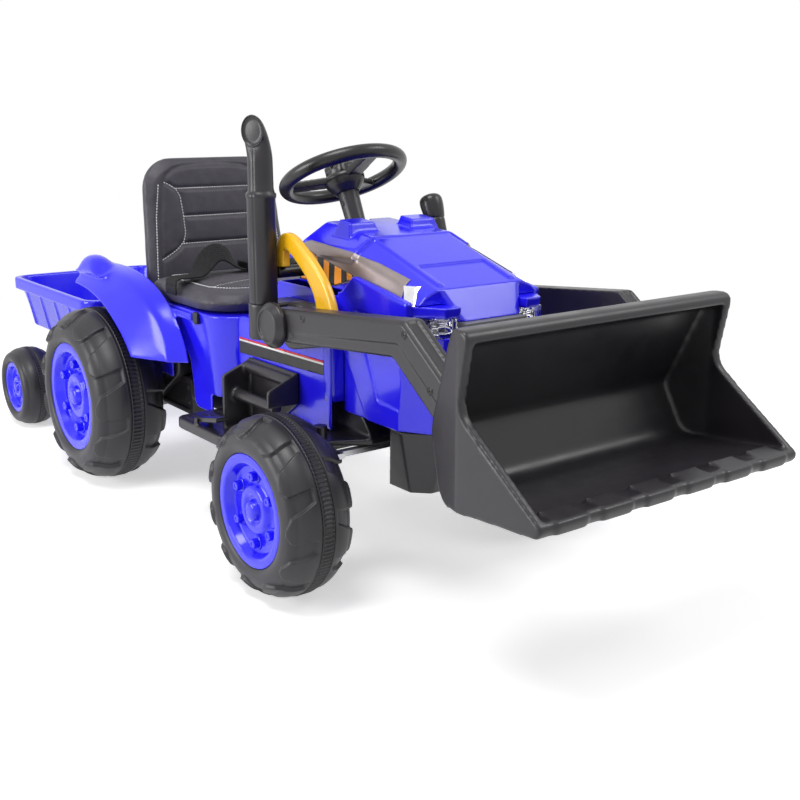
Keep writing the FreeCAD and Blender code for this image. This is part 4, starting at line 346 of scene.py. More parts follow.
def rounded_box(low, high, radii, steps):
    """Points round a box with arcs at its corners, from the corner of both highs on."""
    points = []
    for quarter, (right, upper) in enumerate(((True, True), (False, True), (False, False), (True, False))):
        r = radii[quarter]
        x = high[0] - r if right else low[0] + r
        y = high[1] - r if upper else low[1] + r
        for k in range(steps):
            t = math.pi / 2 * (quarter + k / (steps - 1))
            points.append((x + r * math.cos(t), y + r * math.sin(t)))
    return points


def loft(name, rows, body, material):
    """Closed piece through rows of points."""
    verts = [p for row in rows for p in row]
    return face_out(piece(name, verts, capped(len(rows), len(rows[0])), body, material))


def plate(name, rows, flip, thickness, offset, material):
    """Thin piece of the tractor through rows of points."""
    verts = [p for row in rows for p in row]
    faces = flipped(strip(len(rows), len(rows[0]), loop=False), flip)
    obj = piece(name, verts, faces, "tractor", material)
    modify(obj, "SOLIDIFY", thickness=thickness, offset=offset)
    return obj


def turned(profile, place, axis, steps):
    """Rows of points round an axis in the XZ plane, one for each (radius, height) of a profile."""
    across = Vector((0.0, 1.0, 0.0))
    level = axis.cross(across)
    return [[place + axis * a + (across * math.cos(t) + level * math.sin(t)) * r for t in circle(steps)]
            for r, a in profile]


# Camera, light and floor

CAMERA_PLACE = (1.6797, -1.0159, 0.6827)
CAMERA_YAW, CAMERA_PITCH, CAMERA_ROLL = 142.55, -14.74, -0.29
FOCAL_PIXELS, FRAME_PIXELS, SENSOR = 1117.8, 800.0, 36.0
FLOOR_Z = -0.0005


def add_camera():
    yaw, pitch, roll = (math.radians(a) for a in (CAMERA_YAW, CAMERA_PITCH, CAMERA_ROLL))
    ahead = Vector((math.cos(pitch) * math.cos(yaw), math.cos(pitch) * math.sin(yaw), math.sin(pitch)))
    right = Vector((math.sin(yaw), -math.cos(yaw), 0.0))
    up = right.cross(ahead)
    turn = Matrix.Rotation(roll, 3, ahead)
    right, up = turn @ right, turn @ up
    data = bpy.data.cameras.new("photo_camera")
    data.sensor_width = SENSOR
    data.lens = FOCAL_PIXELS * SENSOR / FRAME_PIXELS
    data.clip_end = 100.0
    camera = bpy.data.objects.new("photo_camera", data)
    camera.matrix_world = Matrix((right, up, -ahead)).transposed().to_4x4()
    camera.location = CAMERA_PLACE
    scene.collection.objects.link(camera)
    scene.camera = camera


def seen_rays(tree):
    """1 for rays from the camera and from mirror-like or clear surfaces, 0 for the rest."""
    path = add_node(tree, "LightPath", {})
    value = path.outputs["Is Camera Ray"]
    for other in ("Is Glossy Ray", "Is Transmission Ray"):
        value = add_node(tree, "Math", {0: value, 1: path.outputs[other]}, operation="MAXIMUM").outputs[0]
    return value


def add_world(strength):
    world = bpy.data.worlds.new("studio")
    scene.world = world
    world.use_nodes = True
    tree = world.node_tree
    level = add_node(tree, "MapRange", {"To Min": strength, "To Max": 1.0, "Value": seen_rays(tree)})
    values = {"Color": (1.0, 1.0, 1.0, 1.0), "Strength": level.outputs["Result"]}
    feed(tree, tree.nodes["Background"], values)


def add_lamp(name, place, target, size, power):
    data = bpy.data.lights.new(name, "AREA")
    data.shape = "DISK"
    data.size = size
    data.energy = power
    lamp = bpy.data.objects.new(name, data)
    lamp.location = place
    lamp.rotation_euler = (Vector(target) - Vector(place)).to_track_quat("-Z", "Y").to_euler()
    scene.collection.objects.link(lamp)


def add_floor(near, far, lift, reach):
    """Round pale floor that keeps the shadow near the object and turns to plain white further out."""
    mesh = bpy.data.meshes.new("floor")
    ring = [(reach * math.cos(a), reach * math.sin(a), FLOOR_Z) for a in circle(96)]
    mesh.from_pydata(ring, [], [tuple(range(len(ring)))])
    floor = bpy.data.objects.new("floor", mesh)
    scene.collection.objects.link(floor)
    mat, tree, shader, point = new_material("floor_white")
    tree.nodes.remove(shader)
    seen = seen_rays(tree)
    matte = add_node(tree, "BsdfDiffuse", {"Color": (0.86, 0.86, 0.86, 1.0)})
    gain = add_node(tree, "Math", {0: seen, 1: lift}, operation="MULTIPLY")
    glow = add_node(tree, "Emission", {"Strength": gain.outputs[0]})
    both = add_node(tree, "AddShader", {0: matte.outputs[0], 1: glow.outputs[0]})
    white = add_node(tree, "Emission", {"Strength": seen})
    length = add_node(tree, "VectorMath", {0: point}, operation="LENGTH")
    values = {"From Min": near, "From Max": far, "Value": length.outputs["Value"]}
    fade = add_node(tree, "MapRange", values, interpolation_type="SMOOTHSTEP")
    values = {"Fac": fade.outputs["Result"], 1: both.outputs[0], 2: white.outputs[0]}
    mix = add_node(tree, "MixShader", values)
    feed(tree, tree.nodes["Material Output"], {"Surface": mix.outputs[0]})
    mesh.materials.append(mat)


add_camera()
add_world(0.34)
add_lamp("key", (0.6, -0.9, 2.7), (0.1, 0.0, 0.2), 1.3, 38.0)
add_lamp("left_fill", (-0.6, -2.8, 1.0), (0.2, 0.0, 0.3), 1.6, 46.0)
add_lamp("right_fill", (1.7, 1.5, 2.3), (0.3, 0.0, 0.3), 1.2, 18.0)
add_floor(1.2, 2.4, 0.52, 40.0)
scene.view_settings.view_transform = "Standard"


# Tyres: raised shoulder lobes with chamfered ends, two smooth rings and a finely ribbed middle band

LOBES = 11
LUG_SHARE, SKIN_SHARE, STEP_SHARE = 0.036, 0.05, 0.06
BORE = 0.00605
RING_GROOVE = ((0.385, 0.30), (0.402, 0.30), (0.408, 0.42), (0.413, 1.0), (0.420, 0.9), (0.425, 0.1),
               (0.429, 0.0), (0.432, 0.0), (0.466, 0.0), (0.5, 0.0))
RIB_DIPS = np.array([0.0, 0.0, 0.55, 1.0, 0.55])


def arc_points(first, over, last, count):
    """Points on the arc from the first point over another to the last."""
    p, q, r = (complex(*point) for point in (first, over, last))
    ratio = (r - p) / (q - p)
    centre = p + (q - p) * (ratio - abs(ratio) ** 2) / (2j * ratio.imag)
    turn = math.copysign(1.0, ratio.imag)
    start = np.angle(p - centre)
    sweep = (turn * (np.angle(r - centre) - start)) % (2 * math.pi)
    arc = centre + abs(p - centre) * np.exp(1j * (start + turn * np.linspace(0.0, sweep, count)))
    return list(zip(arc.real, arc.imag))


def smoothstep(low, high, value):
    t = np.clip((value - low) / (high - low), 0.0, 1.0)
    return t * t * (3.0 - 2.0 * t)


def spin(axial, radial, x, z, face_y, side):
    """Points and faces of a closed ring about an axle. Rows are turns, columns go round the section."""
    steps, total = axial.shape
    turn = np.arange(steps) * 2 * math.pi / steps
    xs = x + radial * np.cos(turn)[:, None]
    zs = z + radial * np.sin(turn)[:, None]
    verts = np.stack([xs, side * (face_y - axial), zs], axis=2).reshape(-1, 3)
    i, k = (a.ravel() for a in np.meshgrid(np.arange(steps), np.arange(total), indexing="ij"))
    n, m = (i + 1) % steps, (k + 1) % total
    faces = np.stack([i * total + k, i * total + m, n * total + m, n * total + k], axis=1)
    if side > 0:
        faces = faces[:, ::-1]
    return verts.tolist(), faces.tolist()


def tyre(name, wheel, side, body):
    x, radius, width, rim, face_y, lobed, ribs = wheel
    steps = ribs * len(RIB_DIPS)
    drop = radius - rim
    lug, skin, step = radius * LUG_SHARE, radius * SKIN_SHARE, width * STEP_SHARE
    shoulder = (width * 0.13, radius - drop * 0.26)
    tread = (width * 0.27, radius - drop * 0.07)
    ring = (width * 0.375, radius - lug * 0.35)
    wall = arc_points((step, rim), (0.0, rim + drop * 0.42), shoulder, 27)
    crown = arc_points(shoulder, tread, ring, 32)[1:]
    half = wall + crown + [(width * a, radius - lug * d) for a, d in RING_GROOVE]
    path = np.array(half + [(width - a, r) for a, r in reversed(half[:-1])])
    count = len(path)
    along = run_lengths(path)
    lobe_start = float(np.interp(rim + drop * 0.47, [p[1] for p in wall], along[: len(wall)]))
    lobe_end = along[len(wall) + len(crown) - 1]
    span = lobe_end - lobe_start
    tangent = directions(path)
    normal = np.stack([-tangent[:, 1], tangent[:, 0]], axis=1)
    turn = np.arange(steps) * 2 * math.pi / steps
    pitch = 2 * math.pi / LOBES
    offset = np.zeros((steps, count))
    rib_dip = RIB_DIPS[np.arange(steps) % len(RIB_DIPS)]
    for k in range((count + 1) // 2):
        v = along[k] - lobe_start
        for j, shift in ((k, 0.0), (count - 1 - k, pitch / 2)):
            if lobed and along[k] <= lobe_end:
                share = min(1.0, max(0.0, v / span))
                u = (turn - shift - pitch * 0.22 * share + pitch / 2) % pitch - pitch / 2
                room = (pitch * (0.25 + 0.125 * share) - np.abs(u)) * path[k][1]
                inside = np.minimum(np.minimum(room, v), (room + v - 0.011) * math.sqrt(0.5))
                lobe = np.maximum(smoothstep(-0.0015, 0.0015, inside), smoothstep(span - 0.004, span, v))
                offset[:, j] = -lug * (1.0 - lobe) * smoothstep(-0.030, -0.002, v)
            if path[k][0] > width * 0.4285:
                offset[:, j] = -lug * 0.5 * rib_dip
    axial = path[:, 0] + normal[:, 0] * offset
    radial = path[:, 1] + normal[:, 1] * offset
    sleeve, dish, belly = BORE + radius * 0.08, width * 0.84, radius - lug - skin
    low = belly - drop * 0.26
    close = [(dish, rim * 0.8), (dish, sleeve), (width, sleeve), (width, BORE), (width * 0.26, BORE),
             (width * 0.26, sleeve), (dish - skin, sleeve), (dish - skin, rim * 0.8 - skin),
             (width - step - skin, rim), (width - step - skin, low), (width * 0.73, belly),
             (width * 0.27, belly), (step + skin, low), (step + skin, rim)]
    axial = np.concatenate([axial, np.tile([c[0] for c in close], (steps, 1))], axis=1)
    radial = np.concatenate([radial, np.tile([c[1] for c in close], (steps, 1))], axis=1)
    verts, faces = spin(axial, radial, x, radius, face_y, side)
    return piece(name, verts, faces, body, TYRE)


# Wheel caps: flat ring, sunk floor and a domed boss, with six flanged nuts on the lobed wheels

CAP_STEPS, NUTS, NUT_STEPS, SIXTH = 96, 6, 24, math.pi / 6


def rounded_path(points, radius, steps=4):
    """Polyline with each inner corner turned into a small arc."""
    pts = [np.array(p, float) for p in points]
    out = [pts[0]]
    for a, b, c in zip(pts, pts[1:], pts[2:]):
        into, away = (a - b), (c - b)
        reach = min(radius, 0.45 * np.linalg.norm(into), 0.45 * np.linalg.norm(away))
        into, away = into / np.linalg.norm(into), away / np.linalg.norm(away)
        for t in np.linspace(0.0, 1.0, steps):
            out.append(b + into * reach * (1 - t) ** 2 + away * reach * t**2)
    return out + [pts[-1]]


def cap(name, wheel, side, body):
    x, radius, width, rim, face_y, lobed, _ = wheel
    face = width * STEP_SHARE
    floor, rise, wall = face + width * 0.13, width * 0.07, 0.003
    tip = floor - rise * 1.8
    points = [(face + wall, rim - 0.0003), (face, rim - 0.0003), (face, rim * 0.83), (floor, rim * 0.76),
              (floor, rim * 0.47), (floor - rise, rim * 0.40), (floor - rise, rim * 0.27),
              (floor - rise * 0.5, rim * 0.215), (floor - rise * 0.5, rim * 0.19),
              (floor - rise * 1.5, rim * 0.165), (tip, rim * 0.10), (tip, 0.0004)]
    front = rounded_path(points, 0.0030)
    section = np.array([tuple(p) for p in front] + [(floor + wall, 0.0004), (floor + wall, rim * 0.76)])
    axial, radial = (np.tile(section[:, k], (CAP_STEPS, 1)) for k in (0, 1))
    verts, faces = spin(axial, radial, x, radius, face_y, side)
    top, size = face + rise / 2, rim * 0.085
    rings = [(1.45, floor + 0.0005, False), (1.45, floor - 0.0012, False), (1.30, floor - 0.0020, False),
             (1.02, floor - 0.0020, True), (1.02, top + 0.0012, True), (0.88, top, True), (0.45, top, True),
             (0.40, top + 0.0008, True)]
    for k in range(NUTS if lobed else 0):
        turn = 2 * math.pi * (k + 0.5) / NUTS
        nut_x, nut_z = x + rim * 0.60 * math.cos(turn), radius + rim * 0.60 * math.sin(turn)
        base = len(verts)
        for scale, a, six_sided in rings:
            for t in circle(NUT_STEPS):
                reach = size * scale
                if six_sided:
                    reach *= math.cos(SIXTH) / math.cos((t + SIXTH) % (2 * SIXTH) - SIXTH)
                verts.append((nut_x + reach * math.cos(t + turn), side * (face_y - a),
                              nut_z + reach * math.sin(t + turn)))
        faces += flipped(shifted(capped(len(rings), NUT_STEPS), base), side > 0)
    obj = piece(name, verts, faces, body, BLUE)
    obj.data.set_sharp_from_angle(angle=math.radians(32))
    return obj


# Each wheel: axle x, radius, width, rim radius, outer face y, lobed or smooth tread, and ribs
WHEELS = {"front": (0.380, 0.132, 0.112, 0.083, 0.294, True, 132),
          "rear": (-0.278, 0.160, 0.139, 0.100, 0.291, True, 132),
          "trailer": (-0.710, 0.085, 0.078, 0.055, 0.250, False, 88)}
for axle, wheel in WHEELS.items():
    for hand, side in SIDES:
        body = "%s_wheel_%s" % (axle, hand)
        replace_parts(tyre("%s_tread_%s" % (axle, hand), wheel, side, body), "%s_tyre_%s" % (axle, hand))
        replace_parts(cap("%s_cap_%s" % (axle, hand), wheel, side, body), "%s_hub_cap_%s" % (axle, hand))


# Fenders: one smooth shell each, with the lamp pod melted into its crown

def soft_copy(node, name, voxel, shrink, material):
    """Even mesh of a solid, drawn in by shrink."""
    obj = bpy.data.objects.new(name, NODES[node].data.copy())
    scene.collection.objects.link(obj)
    modify(obj, "REMESH", mode="VOXEL", voxel_size=voxel)
    bake(obj)
    mesh = obj.data
    normals = [v.normal.copy() for v in mesh.vertices]
    for v, n in zip(mesh.vertices, normals):
        v.co -= n * shrink
    mesh.materials.clear()
    mesh.materials.append(material)
    return obj


def bake(obj):
    """Applies an object's modifiers to its mesh."""
    graph = bpy.context.evaluated_depsgraph_get()
    mesh = bpy.data.meshes.new_from_object(obj.evaluated_get(graph))
    obj.modifiers.clear()
    old = obj.data
    obj.data = mesh
    bpy.data.meshes.remove(old)


def points_of(mesh):
    points = np.empty(len(mesh.vertices) * 3)
    mesh.vertices.foreach_get("co", points)
    return points.reshape(-1, 3)


def move_points(mesh, points):
    mesh.vertices.foreach_set("co", points.ravel())
    mesh.update()


def relax(mesh, rounds, weight):
    """Smooths a mesh, each point by its own weight of 0 to 1."""
    points = points_of(mesh)
    pairs = np.empty(len(mesh.edges) * 2, dtype=int)
    mesh.edges.foreach_get("vertices", pairs)
    a, b = pairs.reshape(-1, 2).T
    degree = np.bincount(np.concatenate([a, b]), minlength=len(points)).clip(1)[:, None]
    share = weight(points)[:, None]
    for _ in range(rounds):
        total = np.zeros_like(points)
        np.add.at(total, a, points[b])
        np.add.at(total, b, points[a])
        points += (total / degree - points) * 0.5 * share
    move_points(mesh, points)


FENDER_VOXEL, FENDER_KEEP, FENDER_ROUNDS, POD_ROUNDS = 0.0016, 0.35, 12, 160
FENDER_BACK_X, POD_FRONT_X, POD_INNER_Y = -0.3795, -0.236, 0.172
POD_PLACE, POD_REACH = (-0.316, 0.2015, 0.380), (0.057, 0.0285, 0.0345)
CROWN_Y, CROWN_Z = (0.160, 0.200, 0.231), (0.3985, 0.3940, 0.3620)


def dome_pod(points):
    """Presses the pod's block into a dome on the crown."""
    x, y, z = points[:, 0], np.abs(points[:, 1]), points[:, 2]
    base = np.interp(y, CROWN_Y, CROWN_Z)
    out = ((x - POD_PLACE[0]) / POD_REACH[0]) ** 2 + ((y - POD_PLACE[1]) / POD_REACH[1]) ** 2
    top = np.maximum(base, POD_PLACE[2] + POD_REACH[2] * np.sqrt(np.clip(1.0 - out, 0.0, 1.0)))
    near = (x < POD_FRONT_X) & (y > POD_INNER_Y) & (z > base)
    points[:, 2] = np.where(near, np.minimum(z, top), z)
    points[:, 0] = np.maximum(x, FENDER_BACK_X)
    return points


def fender_softness(points):
    """1 on the crown's crease and on the pod, 0 at the free edges."""
    x, y, z = points[:, 0], np.abs(points[:, 1]), points[:, 2]
    inner = smoothstep(POD_INNER_Y, 0.182, y)
    crease = (1.0 - smoothstep(0.218, 0.227, y)) * smoothstep(0.268, 0.285, z)
    crease *= smoothstep(-0.378, -0.366, x)
    pod = smoothstep(0.368, 0.376, z) * (1.0 - smoothstep(-0.252, -0.235, x))
    return inner * np.maximum(crease, pod)


def fender(hand):
    obj = soft_copy("fender_" + hand, "fender_shell_" + hand, FENDER_VOXEL, 0.0, BLUE)
    relax(obj.data, FENDER_ROUNDS, lambda p: np.ones(len(p)))
    move_points(obj.data, dome_pod(points_of(obj.data)))
    relax(obj.data, POD_ROUNDS, fender_softness)
    modify(obj, "DECIMATE", ratio=FENDER_KEEP)
    bake(obj)
    smooth_faces(obj.data)
    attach(obj, "tractor")
    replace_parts(obj, "fender_" + hand)


for hand, _ in SIDES:
    fender(hand)


# Seat: cloth blown up inside its seams

COVER_VOXEL, COVER_SHRINK, SWELL_LIMIT = 0.005, 0.0035, 0.009
SEAM_HOLD, SEAM_DEPTH, SEAM_REACH = 0.0045, 0.0030, 0.0075
SWELL_FRAMES = 20
CLOTH = {"quality": 6, "mass": 0.25, "tension_stiffness": 12.0, "compression_stiffness": 12.0,
         "shear_stiffness": 6.0, "bending_stiffness": 1.0, "use_pressure": True,
         "uniform_pressure_force": 4.0, "vertex_group_mass": "held"}


def near_line(point, line):
    """Distance in 2D from a point to a polyline."""
    best = 1e9
    for a, b in zip(line, line[1:]):
        ab = (b[0] - a[0], b[1] - a[1])
        ap = (point[0] - a[0], point[1] - a[1])
        t = max(0.0, min(1.0, (ap[0] * ab[0] + ap[1] * ab[1]) / (ab[0] ** 2 + ab[1] ** 2 + 1e-12)))
        best = min(best, math.hypot(ap[0] - ab[0] * t, ap[1] - ab[1] * t))
    return best


def inflate(obj, held):
    """Blows the cover up with cloth pressure, held where it is sewn or rests, and limits each point's move.
    """
    start = [v.co.copy() for v in obj.data.vertices]
    obj.vertex_groups.new(name="held").add(held, 1.0, "REPLACE")
    cloth = modify(obj, "CLOTH")
    for name, value in CLOTH.items():
        setattr(cloth.settings, name, value)
    cloth.settings.effector_weights.gravity = 0.0
    cloth.point_cache.frame_start = 1
    cloth.point_cache.frame_end = SWELL_FRAMES
    for step in range(1, SWELL_FRAMES + 1):
        scene.frame_set(step)
    bake(obj)
    obj.vertex_groups.clear()
    for v, s in zip(obj.data.vertices, start):
        move = v.co - s
        if move.length > SWELL_LIMIT:
            v.co = s + move * (SWELL_LIMIT / move.length)
    scene.frame_set(1)


def sewn_cover(node, seams, plane, depth, limits, rests, inward):
    """Padded cover of a solid, blown up between its seams and drawn in along them.

    plane gives a point's place among the seams and depth how far it lies behind the sewn face. limits are the
    depths down to which seams hold and draw in. rests says whether the point lies on what carries the cover.
    """
    def to_seam(co, limit):
        return min(near_line(plane(co), line) for line in seams) if depth(co) < limit else 1.0

    obj = soft_copy(node, node + "_cover", COVER_VOXEL, COVER_SHRINK, LEATHER)
    inflate(obj, [v.index for v in obj.data.vertices if rests(v.co) or to_seam(v.co, limits[0]) < SEAM_HOLD])
    modify(obj, "SUBSURF", levels=1, render_levels=1)
    bake(obj)
    smooth_faces(obj.data)
    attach(obj, "tractor")
    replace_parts(obj, node)
    for v in obj.data.vertices:
        near = to_seam(v.co, limits[1])
        if near < SEAM_REACH:
            v.co += inward * SEAM_DEPTH * (0.5 + 0.5 * math.cos(math.pi * near / SEAM_REACH))
    return obj


SEAT_FOOT_Z = 0.3473
SEAT_LEAN = 34.0 / 244.0
SEAT_FACE_X = -0.194
BACK_SIDE = [(-0.1010, 0.5460), (-0.0900, 0.5410), (-0.0780, 0.5330), (-0.0705, 0.5200), (-0.0680, 0.4900),
             (-0.0668, 0.4550), (-0.0710, 0.4390), (-0.0840, 0.4260), (-0.1030, 0.4150), (-0.1195, 0.4070)]
BACK_EDGE = [(-0.1235, 0.3600), (-0.1205, 0.4030), (-0.1140, 0.4850), (-0.1040, 0.5400), (-0.0950, 0.5590),
             (-0.0800, 0.5690), (-0.0600, 0.5740), (-0.0300, 0.5760), (0.0, 0.5765)]
BACK_STITCH = [(-0.1325, 0.3720), (-0.1298, 0.4030), (-0.1230, 0.4850), (-0.1128, 0.5430)]
BACK_ROWS = ((0.0790, 0.5340), (0.0680, 0.4830), (0.0740, 0.4340))
BACK_LIMITS, BACK_REST, FOOT_REST = (0.014, 0.016), 0.027, 0.012


def mirrored_line(line):
    return [(-y, z) for y, z in line]


def front_depth(co):
    """How far a point is behind the leaning front face of the seat back."""
    return SEAT_FACE_X - SEAT_LEAN * (co.z - SEAT_FOOT_Z) - co.x


def back_rests(co):
    return front_depth(co) > BACK_REST or co.z < SEAT_FOOT_Z + FOOT_REST


CUSHION_LOW, CUSHION_TOP = 0.3473, 0.3913
CUSHION_X0, CUSHION_X1, CUSHION_HALF = -0.186, 0.082, 0.168
CUSHION_INSET, CUSHION_ROUNDS = 0.036, (0.061, 0.02, 0.02, 0.061)
CUSHION_ROWS = (-0.075, 0.0)
CUSHION_LIMITS, CUSHION_REST = (0.012, 0.014), 0.010


def cushion_ring(inset):
    """Rounded outline inside the cushion's plan, as (x, y) points."""
    low = (CUSHION_X0 + inset, inset - CUSHION_HALF)
    high = (CUSHION_X1 - inset, CUSHION_HALF - inset)
    points = rounded_box(low, high, CUSHION_ROUNDS, 9)
    return points + points[:1]


def resample(line, pitch):
    """Even points on a 2D polyline."""
    pts = np.array(line, float)
    run = run_lengths(pts)
    count = max(2, int(run[-1] / pitch) + 1)
    at = np.linspace(0.0, run[-1], count)
    return np.stack([np.interp(at, run, pts[:, 0]), np.interp(at, run, pts[:, 1])], axis=1)


STITCH_PITCH, STITCH_LENGTH, STITCH_THICK = 0.0052, 0.0041, 0.00085
STITCH_LIFT, STITCH_SAG = 0.0005, 0.0006


def stitches(name, tree, lines, to3d, shoot):
    """Rows of short thread loops on a surface along 2D lines."""
    verts, faces = [], []
    for line in lines:
        places = []
        for p in resample(line, STITCH_PITCH):
            hit, normal = cast(tree, to3d(p), shoot)
            if hit is not None:
                places.append((hit, normal))
        for (a, na), (b, _) in zip(places, places[1:]):
            along = b - a
            if along.length > 3 * STITCH_PITCH:
                continue
            along.normalize()
            up = (na - along * na.dot(along)).normalized()
            out = along.cross(up)
            mid = (a + b) / 2 + na * STITCH_LIFT
            base = len(verts)
            for s, r in ((-0.5, 0.35), (-0.34, 1.0), (0.34, 1.0), (0.5, 0.35)):
                sag = -STITCH_SAG if abs(s) > 0.4 else 0.0
                for t in circle(6):
                    verts.append(mid + along * (s * STITCH_LENGTH)
                                 + up * (r * STITCH_THICK * math.sin(t) + sag)
                                 + out * (r * STITCH_THICK * 1.3 * math.cos(t)))
            faces += shifted(capped(4, 6), base)
    return piece(name, verts, faces, "tractor", THREAD)


back_lines = [BACK_SIDE, mirrored_line(BACK_SIDE)] + [[(-half, z), (half, z)] for half, z in BACK_ROWS]
back = sewn_cover("seat_back", back_lines + [BACK_EDGE, mirrored_line(BACK_EDGE)], lambda co: (co.y, co.z),
                  front_depth, BACK_LIMITS, back_rests, Vector((-1.0, 0.0, -SEAT_LEAN)).normalized())
row_half = CUSHION_HALF - CUSHION_INSET
cushion_lines = [[(x, -row_half), (x, row_half)] for x in CUSHION_ROWS]
cushion = sewn_cover("seat_cushion", [cushion_ring(CUSHION_INSET)] + cushion_lines, lambda co: (co.x, co.y),
                     lambda co: CUSHION_TOP - co.z, CUSHION_LIMITS,
                     lambda co: co.z < CUSHION_LOW + CUSHION_REST, DOWN)
bpy.context.view_layer.update()
BACK_TREE = surface(back)
CUSHION_TREE = surface(cushion)
stitches("back_thread", BACK_TREE, back_lines + [BACK_STITCH, mirrored_line(BACK_STITCH)],
         lambda p: Vector((0.2, p[0], p[1])), Vector((-1.0, 0.0, 0.0)))
stitches("cushion_thread", CUSHION_TREE, [cushion_ring(CUSHION_INSET - 0.005)] + cushion_lines,
         lambda p: Vector((p[0], p[1], 0.6)), DOWN)


# Belt: flat webbing over the cushion's sides with slack near the buckle

BELT_X, BELT_HALF, BELT_THICK, BELT_CLEAR = -0.0705, 0.019, 0.0022, 0.0022
BELT_ANCHOR = ((0.1712, 0.3680), (0.1716, 0.3800), (0.1700, 0.3925))
BELT_EDGE_Y, BELT_BUCKLE_Y, BELT_EDGE_Z, BELT_RISE, LOOP_START = 0.160, 0.032, 0.3935, 0.004, 0.26


def belt(hand, side, slack, roll):
    """Strap from the seat's side over the cushion to the buckle, with a slack loop that rolls over."""
    over = np.linspace(BELT_EDGE_Y, BELT_BUCKLE_Y, 40)
    stations = [(y, z, 0.0) for y, z in BELT_ANCHOR]
    for k, y in enumerate(over):
        hits = [CUSHION_TREE.ray_cast(Vector((BELT_X + dx, side * y, 0.6)), DOWN)[0]
                for dx in (-BELT_HALF, 0.0, BELT_HALF)]
        top = max([h.z for h in hits if h is not None] + [BELT_EDGE_Z])
        loop = min(1.0, max(0.0, (k / (len(over) - 1) - LOOP_START) / (1.0 - LOOP_START)))
        swing = math.sin(math.pi * loop)
        stations.append((y, top + BELT_CLEAR + BELT_RISE * loop + slack * swing**2, roll * swing))
    line = np.array(stations)
    rows = []
    for (y, z, turn), (dy, dz) in zip(line, directions(line[:, :2])):
        up = (-dz, dy) if dy > 0 else (dz, -dy)
        row = []
        for reach in np.linspace(-1.0, 1.0, 11) * BELT_HALF:
            lift = -math.sin(turn) * reach + BELT_HALF * abs(math.sin(turn)) * 0.6
            row.append((BELT_X + math.cos(turn) * reach, side * (y + up[0] * lift), z + up[1] * lift))
        rows.append(row)
    strap = plate("belt_strap_" + hand, rows, side < 0, BELT_THICK, 0.0, WEB)
    return strap


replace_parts(belt("right", -1.0, 0.026, 0.8), "lap_belt")
belt("left", 1.0, 0.005, 0.15)


# Stickers: thin films laid on the bonnet and on the middle body, without words or signs

FILM_CELL, FILM_THICK = 0.0025, 0.0006
PANEL_LIFT, GROUND_LIFT, STRIPE_LIFT, BAND_LIFT, LINE_LIFT = 0.0012, 0.0016, 0.0021, 0.0006, 0.0010


def film_piece(name, outline, tilt, side, tree, material, lift):
    """Thin film cut to a flat outline and laid on a surface, seen level from the side or from above by tilt.

    An outline point is its place along X and its height across the line of sight, in millimetres.
    """
    into = Vector((0.0, -side * math.cos(tilt), -math.sin(tilt)))
    rise = Vector((0.0, -side * math.sin(tilt), math.cos(tilt)))
    bm = bmesh.new()
    bm.faces.new([bm.verts.new((x * MM, 0.0, h * MM)) for x, h in outline])
    for axis, normal in ((0, Vector((1.0, 0.0, 0.0))), (1, Vector((0.0, 0.0, 1.0)))):
        low, high = (pick(p[axis] for p in outline) * MM for pick in (min, max))
        for cut in np.arange(low + FILM_CELL, high, FILM_CELL):
            bmesh.ops.bisect_plane(bm, geom=bm.verts[:] + bm.edges[:] + bm.faces[:], plane_co=normal * cut,
                                   plane_no=normal, dist=1e-6)
    lost = []
    for v in bm.verts:
        start = Vector((v.co.x, 0.0, 0.0)) + rise * v.co.z - into * 0.6
        hit, normal = cast(tree, start, into)
        if hit is None:
            lost.append(v)
            continue
        v.co = hit + normal * lift
    bmesh.ops.delete(bm, geom=lost, context="VERTS")
    bm.normal_update()
    if sum(f.normal.dot(into) for f in bm.faces) > 0:
        bmesh.ops.reverse_faces(bm, faces=bm.faces[:])
    bm.verts.index_update()
    verts = [v.co.copy() for v in bm.verts]
    faces = [[v.index for v in f.verts] for f in bm.faces]
    bm.free()
    obj = piece(name, verts, faces, "tractor", material)
    modify(obj, "SOLIDIFY", thickness=FILM_THICK, offset=-1.0)


BONNET_TREE = surface(NODES["bonnet"])
BODY_TREE = surface(NODES["middle_body"])
BONNET_TILT = math.radians(35.0)
PANEL = [(250, 287.5), (250, 331), (266, 341), (346, 335.5), (428, 331), (491, 321.5), (497, 290.5),
         (482, 290), (384, 296), (345, 287.5)]
ZONE_LOW, ZONE_HIGH, ZONE_FALL = 288.0, 329.4, 0.174
ZONE_BACK, ZONE_TURN, ZONE_FRONT, ZONE_TIP = 250.0, 345.0, 388.0, 300.0
STRIPES = ((251, 265), (282, 295), (312, 326), (341, 358), (372, 384))
STRIPE_LEAN, STRIPE_GAP = 4.0, 0.4
BAND = [(98, 291), (346, 300), (346, 318), (98, 314)]
WHITE_LINE = [(98, 311), (346, 315.5), (346, 318.5), (98, 314)]
RED_LINE = [(98, 314.2), (346, 318.7), (346, 321.7), (98, 317.2)]


def zone_top(x):
    return ZONE_HIGH - (x - ZONE_BACK) * ZONE_FALL


def zone_low(x):
    return ZONE_LOW + max(0.0, x - ZONE_TURN) * (ZONE_TIP - ZONE_LOW) / (ZONE_FRONT - ZONE_TURN)


def stripe_outline(x0, x1):
    """Bar that leans forward on its way down, between the zone's two edges."""
    x2, x3 = x1 + STRIPE_LEAN, x0 + STRIPE_LEAN
    foot = [x3] + ([ZONE_TURN] if x3 < ZONE_TURN < x2 else []) + [x2]
    return ([(x0, zone_top(x0) - STRIPE_GAP)] + [(x, zone_low(x) + STRIPE_GAP) for x in foot]
            + [(x1, zone_top(x1) - STRIPE_GAP)])


